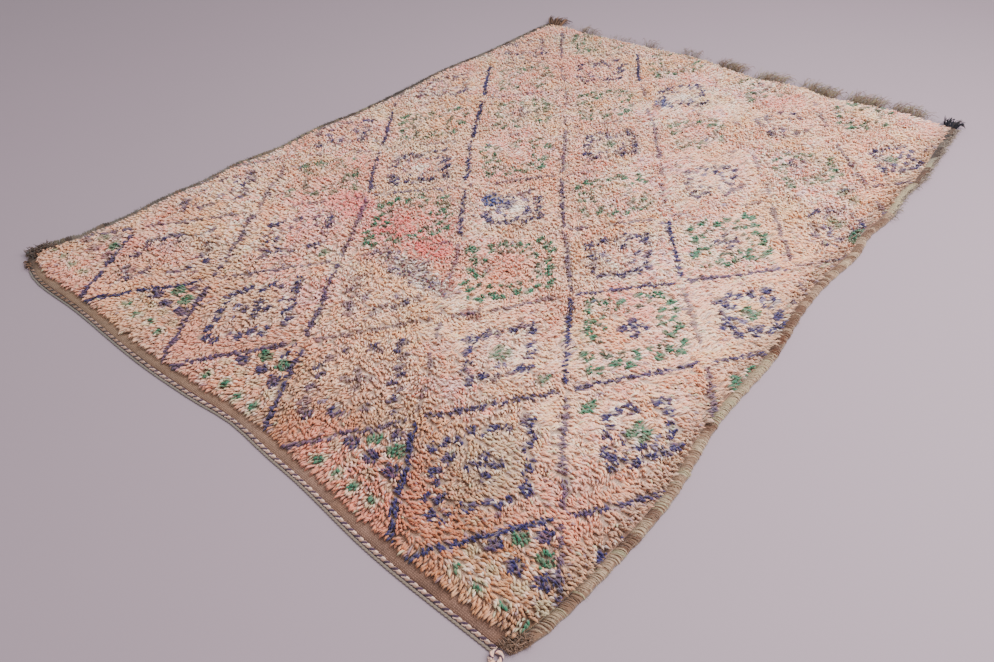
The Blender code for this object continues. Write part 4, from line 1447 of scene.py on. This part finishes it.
def join_strands(name, strands, material, slot, node):
    """Makes one piece of closed strands."""
    strands[0].materials.append(material)
    piece = show(name, strands[0])
    join_meshes(piece, *strands[1:])
    finish_piece(piece, slot, node)


def twisted_strand(path, radius, orbit_across, orbit_up, pitch, phase, sides=6, thickness=None):
    """Points of one strand that winds about a path. thickness varies its radius along it."""
    steps = np.diff(path, axis=0)
    run = np.concatenate([[0], np.cumsum(np.linalg.norm(steps, axis=1))])
    tangent = np.gradient(path, axis=0)
    tangent /= np.linalg.norm(tangent, axis=1)[:, None]
    up = np.array([0.0, 0.0, 1.0])
    across = np.cross(tangent, up)
    across /= np.linalg.norm(across, axis=1)[:, None]
    angle = 2 * np.pi * run / pitch + phase
    centre = path + across * (orbit_across * np.cos(angle))[:, None]
    centre = centre + up * (orbit_up * np.sin(angle))[:, None]
    flow = np.gradient(centre, axis=0)
    flow /= np.linalg.norm(flow, axis=1)[:, None]
    first = np.cross(flow, up)
    first /= np.linalg.norm(first, axis=1)[:, None]
    second = np.cross(first, flow)
    girth = np.full(len(path), radius) if thickness is None else radius * thickness
    points = []
    for k in range(len(path)):
        for n in range(sides):
            turn = 2 * math.pi * n / sides
            spoke = first[k] * math.cos(turn) + second[k] * math.sin(turn)
            points.append(tuple(centre[k] + spoke * girth[k]))
    return points


def near_path(from_x, to_x, out, height):
    """A path along the near edge of the cloth, outside it."""
    x = np.linspace(from_x, to_x, int((to_x - from_x) / PATH_STEP))
    return np.stack([x, edge_at("near", x) - out, np.full(len(x), height)], 1)


PATH_STEP = 0.0026

# The strands of the braid: name, radius, how far each winds to the sides and up, where its
# winding starts, its sides, whether its thickness is uneven, its dyes at the left and right.
Ply = namedtuple("Ply", "name radius across up phase sides uneven left right")

BRAID_PLIES = (
    Ply("light", 0.0026, 0.0022, 0.0008, 0.0, 6, True, "walnut", "blush"),
    Ply("second", 0.0024, 0.0022, 0.0008, math.pi, 6, True, "walnut", "mauve"),
    Ply("dark", 0.0029, 0.0016, 0.0024, 1.0, 5, False, "bistre", "plum"),
)


class RUG_OT_near_braid(bpy.types.Operator):
    """Twine the braid of the near end, dark and brown at the left, lighter to the right"""

    bl_idname = "rug.near_braid"
    bl_label = "Near braid"

    def execute(self, context):
        low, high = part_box("near_braid")
        path = near_path(low.x - 0.012, high.x + 0.008, out=0.0053, height=0.0034)
        x = path[:, 0]
        chance = np.random.default_rng(131)
        uneven = 1 + 0.10 * chance.normal(0, 1, len(path))
        mottled = 0.5 * (soft_noise(x, 0 * x, 0.03, 133) - 0.5)
        share = np.clip(np.clip(x + 0.70, 0, 1) + mottled, 0, 1)[:, None]
        strands = []
        for ply in BRAID_PLIES:
            points = twisted_strand(
                path, ply.radius, ply.across, ply.up, context.scene.rug_sizes.braid_pitch,
                ply.phase, sides=ply.sides, thickness=uneven if ply.uneven else None,
            )
            tones = colour_of(ply.left) * (1 - share) + colour_of(ply.right) * share
            tones = varied(tones, chance, 0.08, 0.03)
            strands.append(tube_mesh(f"braid_{ply.name}", points, ply.sides, tones))
        wool = yarn_material("twined_wool_braid")
        join_strands("near_braid_twined", strands, wool, "braid_wool", "near_braid")
        return {"FINISHED"}


class RUG_OT_near_cord(bpy.types.Operator):
    """Lay the plain two-ply cord outside the braid"""

    bl_idname = "rug.near_cord"
    bl_label = "Near cord"

    def execute(self, context):
        low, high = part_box("near_cord")
        path = near_path(low.x - 0.006, high.x + 0.004, out=0.0134, height=0.0025)
        pitch = context.scene.rug_sizes.cord_pitch
        chance = np.random.default_rng(141)
        share = 0.25 * np.clip((path[:, 0] + 0.5) / 0.9, 0, 1)[:, None]
        # The cord's ash grey is darkened to two thirds: partly its own darker yarn, partly painted shade
        # of the shadow it lies in beside the braid.
        tones = 0.66 * colour_of("ash") * (1 - share) + colour_of("tan") * share
        strands = []
        for n in range(2):
            points = twisted_strand(
                path, radius=0.0018, orbit_across=0.0012, orbit_up=0.0006, pitch=pitch, phase=math.pi * n
            )
            colours = varied(tones, chance, 0.07, 0.02)
            strands.append(tube_mesh(f"cord_ply_{n + 1}", points, 6, colours))
        wool = yarn_material("plain_wool_cord")
        join_strands("near_cord_plied", strands, wool, "cord_wool", "near_cord")
        return {"FINISHED"}


LONGEST_WARP = 0.1
LONGEST_TUFT = 0.08


def strand_forms(reach, rise):
    """Three wavy ways for a loose yarn end to lie along +X, with its middle raised."""
    return {
        "Middle 1": (0.45 * reach, 0.10 * reach, rise),
        "End 1": (reach, 0.0, 0.0006),
        "Middle 2": (0.55 * reach, -0.16 * reach, 1.3 * rise),
        "End 2": (0.96 * reach, 0.05 * reach, 0.25 * rise),
        "Middle 3": (0.40 * reach, 0.20 * reach, 0.7 * rise),
        "End 3": (0.90 * reach, 0.12 * reach, 0.7 * rise),
    }


class RUG_OT_far_fringe(bpy.types.Operator):
    """Leave the warp ends loose at the far end, in uneven bunches"""

    bl_idname = "rug.far_fringe"
    bl_label = "Far fringe"

    def execute(self, context):
        sizes = context.scene.rug_sizes
        wool = yarn_material("loose_warp_yarn")
        chance = np.random.default_rng(151)
        rows = []
        for bunch in BUNCHES:
            strands = bunch.strands
            share = 0.5 + 0.5 * chance.uniform(-1, 1, strands) * chance.uniform(0.4, 1, strands)
            x = bunch.start + (bunch.end - bunch.start) * share
            reach = bunch.reach * chance.uniform(0.22, 1.0, strands) ** 1.3
            drift = bunch.drift + chance.normal(0, 0.55, strands) * reach
            rows.append(np.stack([x, reach, drift, chance.uniform(0.55, 1.0, strands)], 1))
        low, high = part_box("fringe_far")
        lone = 420
        sparse = chance.uniform(low.x + 0.004, high.x - 0.004, lone)
        short = chance.uniform(0.008, 0.022, lone)
        drift = chance.normal(0, 0.008, lone)
        rows.append(np.stack([sparse, short, drift, np.full(lone, 0.50)], 1))
        x, reach, drift, high_share = np.vstack(rows).T
        count = len(x)
        x = np.clip(x, low.x + 0.002, high.x - 0.002)
        places = np.stack([x, edge_at("far", x) + 0.002, chance.uniform(0.0016, 0.0034, count)], 1)
        turn = np.zeros((count, 3))
        turn[:, 2] = math.pi / 2 - np.arctan2(drift, reach)
        grown = reach / LONGEST_WARP
        size = np.stack([grown, grown, high_share], 1)
        names = ("khaki", "ash", "walnut", "tan", "walnut")
        colours = np.array([colour_of(names[k]) for k in chance.integers(0, len(names), count)])
        colours = varied(0.82 * colours, chance, 0.16, 0.03)
        forms = chance.integers(0, 3, count)
        piece = grow(
            "far_fringe_warps", Yarns(places, turn, size, forms, colours), wool,
            Radius=sizes.warp_radius, Belly=0.3, Sides=3, Segments=5, Crowding=1.0,
            **{"Root Share": 1.0, "Tip Share": 0.45}, **strand_forms(LONGEST_WARP, 0.040),
        )
        join_meshes(piece, self.edge_twining(low, high))
        finish_piece(piece, "warp_yarn", "fringe_far")
        return {"FINISHED"}

    def edge_twining(self, low, high):
        """The twined row that holds the last weft, between the cloth and the loose ends."""
        x = np.arange(low.x + 0.001, high.x - 0.001, 0.003)
        path = np.stack([x, edge_at("far", x) + 0.0042, np.full(len(x), 0.0022)], 1)
        points = twisted_strand(
            path, radius=0.0019, orbit_across=0.0010, orbit_up=0.0002, pitch=0.012, phase=0.0
        )
        return tube_mesh("far_twining", points, 6, colour_of("khaki") * 0.8)


class RUG_OT_corner_tufts(bpy.types.Operator):
    """Tie the tufts of yarn ends at three corners"""

    bl_idname = "rug.corner_tufts"
    bl_label = "Corner tufts"

    def execute(self, context):
        wool = yarn_material("dark_yarn_ends")
        for tuft in TUFTS:
            self.tuft(tuft, wool)
        return {"FINISHED"}

    def tuft(self, tuft, wool):
        """Lays one tuft's loose yarn ends, and the three twisted strands that hold them."""
        chance = np.random.default_rng(171 + len(tuft.node))
        edge = "far" if tuft.outward > 0 else "near"
        share = (np.arange(tuft.strands) + 0.5) / tuft.strands
        x = tuft.start + (tuft.end - tuft.start) * share
        spread = tuft.fan_from + (tuft.fan_to - tuft.fan_from) * share
        reach = tuft.reach * chance.uniform(0.55, 1.05, tuft.strands)
        out = 0.0045 + chance.uniform(-0.003, 0.003, tuft.strands)
        y = edge_at(edge, x) + tuft.outward * out
        places = np.stack([x, y, chance.uniform(0.002, 0.0068, tuft.strands)], 1)
        turn = np.zeros((tuft.strands, 3))
        spread = spread + chance.normal(0, 0.006, tuft.strands)
        turn[:, 2] = np.arctan2(tuft.outward * reach, spread)
        grown = reach / LONGEST_TUFT
        size = np.stack([grown, grown, chance.uniform(0.55, 1.0, tuft.strands)], 1)
        forms = chance.integers(0, 3, tuft.strands)
        colours = np.array([colour_of(tuft.colours[k % len(tuft.colours)]) for k in range(tuft.strands)])
        colours = varied(colours, chance, 0.2, 0.03)
        piece = grow(
            tuft.node + "_yarns", Yarns(places, turn, size, forms, colours), wool,
            Radius=tuft.radius, Belly=0.4, Sides=4, Segments=5, Crowding=1.0,
            **{"Root Share": 1.0, "Tip Share": 0.5}, **strand_forms(LONGEST_TUFT, tuft.rise),
        )
        path_x = np.linspace(tuft.start - 0.003, tuft.end + 0.003, 24)
        path_y = edge_at(edge, path_x) + tuft.outward * 0.0050
        path = np.stack([path_x, path_y, np.full(len(path_x), 0.0040)], 1)
        knot = []
        for n in range(3):
            points = twisted_strand(
                path, radius=0.0021, orbit_across=0.0024, orbit_up=0.0018, pitch=0.022,
                phase=2 * math.pi * n / 3,
            )
            knot.append(tube_mesh(f"{tuft.node}_head_{n + 1}", points, 6, colour_of(tuft.colours[n])))
        join_meshes(piece, *knot)
        finish_piece(piece, tuft.slot, tuft.node)


class RUG_OT_corner_knot(bpy.types.Operator):
    """Turn the end of the braid back on itself as a small loop with a short tail"""

    bl_idname = "rug.corner_knot"
    bl_label = "Corner knot"

    def execute(self, context):
        wool = yarn_material("knotted_braid_end")
        node = "corner_knot_near_right"
        points = np.array([vertex.co[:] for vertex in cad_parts[node].data.vertices])
        low = points.min(axis=0)
        high = points.max(axis=0)
        loop_across = 0.0316
        centre = Vector((low[0] + loop_across / 2, high[1] - loop_across / 2, 0.0038))
        turns = np.linspace(0.15, 2 * math.pi + 0.9, 60)
        radius = 0.0108 - 0.0004 * turns
        loop = np.stack(
            [centre.x + radius * np.cos(turns - 2.6), centre.y + radius * np.sin(turns - 2.6),
             centre.z + 0.0008 * turns], 1
        )
        strands = []
        for n, (name, girth) in enumerate((("blush", 0.0023), ("plum", 0.0017), ("beige", 0.0023))):
            points = twisted_strand(
                loop, girth, orbit_across=0.0018, orbit_up=0.0014, pitch=0.016, phase=2.1 * n
            )
            strands.append(tube_mesh(f"knot_strand_{n + 1}", points, 6, colour_of(name)))
        tail_from = Vector((centre.x, centre.y - 0.010, 0.0036))
        tail_to = Vector((centre.x + 0.006, low[1] + 0.002, 0.0016))
        for n, name in enumerate(("plum", "rose", "blush", "beige")):
            share = np.linspace(0, 1, 14)[:, None]
            line = np.array(tail_from)[None] * (1 - share) + np.array(tail_to)[None] * share
            line[:, 0] += 0.0045 * (n - 1.5) * share[:, 0] + 0.0015 * np.sin(5 * share[:, 0] + n)
            line[:, 2] = np.maximum(line[:, 2], 0.0015)
            points = twisted_strand(
                line, radius=0.0014, orbit_across=0.0003, orbit_up=0.0002, pitch=0.02, phase=n, sides=5
            )
            strands.append(tube_mesh(f"knot_tail_{n + 1}", points, 5, colour_of(name)))
        join_strands("corner_knot_loop", strands, wool, "knot_yarn", node)
        return {"FINISHED"}


class RUG_OT_declare_cloth(bpy.types.Operator):
    """List the names of the pieces fastened to the cloth, and do nothing with them"""

    bl_idname = "rug.declare_cloth"
    bl_label = "Declare the cloth"

    def execute(self, context):
        names = [f"pile_strip_{n + 1}" for n in range(STRIPS)]
        names += ["selvedge_right_binding", "selvedge_left_binding", "near_braid_twined"]
        names += ["near_cord_plied", "far_fringe_warps", "corner_knot_loop"]
        names += [f"{tuft.node}_yarns" for tuft in TUFTS]
        return {"FINISHED"}


# The two area lights: their size and place in metres, and how they are turned, in degrees.
Lamp = namedtuple("Lamp", "name size place turn")

LAMPS = (
    Lamp("key_light", 3.0, (1.9, 0.5, 2.9), (8, 30, 0)),
    Lamp("fill_light", 2.4, (-1.6, -2.2, 2.6), (38, -25, 0)),
)

FLOOR_HALF = 9.0


class RUG_OT_stage(bpy.types.Operator):
    """Set the floor, the soft studio light and the camera"""

    bl_idname = "rug.stage"
    bl_label = "Stage"

    def execute(self, context):
        stage = context.scene.rug_stage
        corners = [(FLOOR_HALF * x, FLOOR_HALF * y, 0) for x, y in ((-1, -1), (1, -1), (1, 1), (-1, 1))]
        mesh = mesh_from("floor", corners, [(0, 1, 2, 3)], floor_material(stage.floor_colour[:]))
        floor = show("floor", mesh)
        for lamp, power in zip(LAMPS, (stage.key_power, stage.fill_power)):
            self.light(lamp, power)
        world = bpy.data.worlds.new("pale_room")
        world.use_nodes = True
        sky = world.node_tree.nodes["Background"]
        sky.inputs["Color"].default_value = (1.0, 0.985, 1.0, 1.0)
        sky.inputs["Strength"].default_value = stage.sky
        context.scene.world = world
        lens = bpy.data.cameras.new("camera")
        lens.lens = stage.lens
        lens.sensor_width = 36.0
        camera = bpy.data.objects.new("camera", lens)
        camera.location = stage.camera_place
        camera.rotation_euler = stage.camera_turn
        context.scene.collection.objects.link(camera)
        context.scene.camera = camera
        return {"FINISHED"}

    def light(self, lamp, power):
        """Hangs one area light."""
        light = bpy.data.lights.new(lamp.name, "AREA")
        light.size = lamp.size
        light.energy = power
        light.color = (1.0, 0.98, 0.96)
        holder = bpy.data.objects.new(lamp.name, light)
        holder.location = lamp.place
        holder.rotation_euler = [math.radians(degrees) for degrees in lamp.turn]
        bpy.context.scene.collection.objects.link(holder)


STEPS = (
    RUG_OT_stage,
    RUG_OT_ground_cloth,
    RUG_OT_pile,
    RUG_OT_selvedges,
    RUG_OT_near_braid,
    RUG_OT_near_cord,
    RUG_OT_far_fringe,
    RUG_OT_corner_tufts,
    RUG_OT_corner_knot,
    RUG_OT_declare_cloth,
)


class RUG_PT_panel(bpy.types.Panel):
    """Lists the rug's sizes, dyes and pieces"""

    bl_idname = "RUG_PT_panel"
    bl_label = "Moroccan rug"
    bl_space_type = "VIEW_3D"
    bl_region_type = "UI"
    bl_category = "Rug"

    def draw(self, context):
        layout = self.layout
        for group in (context.scene.rug_sizes, context.scene.rug_dyes, context.scene.rug_stage):
            box = layout.box()
            for name in group.__annotations__:
                box.prop(group, name)
        for step in STEPS:
            layout.operator(step.bl_idname)


CLASSES = (RugSizes, RugDyes, RugStage, *STEPS, RUG_PT_panel)


def register():
    for item in CLASSES:
        bpy.utils.register_class(item)
    bpy.types.Scene.rug_sizes = PointerProperty(type=RugSizes)
    bpy.types.Scene.rug_dyes = PointerProperty(type=RugDyes)
    bpy.types.Scene.rug_stage = PointerProperty(type=RugStage)


def unregister():
    del bpy.types.Scene.rug_sizes
    del bpy.types.Scene.rug_dyes
    del bpy.types.Scene.rug_stage
    for item in reversed(CLASSES):
        bpy.utils.unregister_class(item)


def main():
    register()
    for step in STEPS:
        group, name = step.bl_idname.split(".")
        getattr(getattr(bpy.ops, group), name)()


if __name__ == "__main__":
    main()
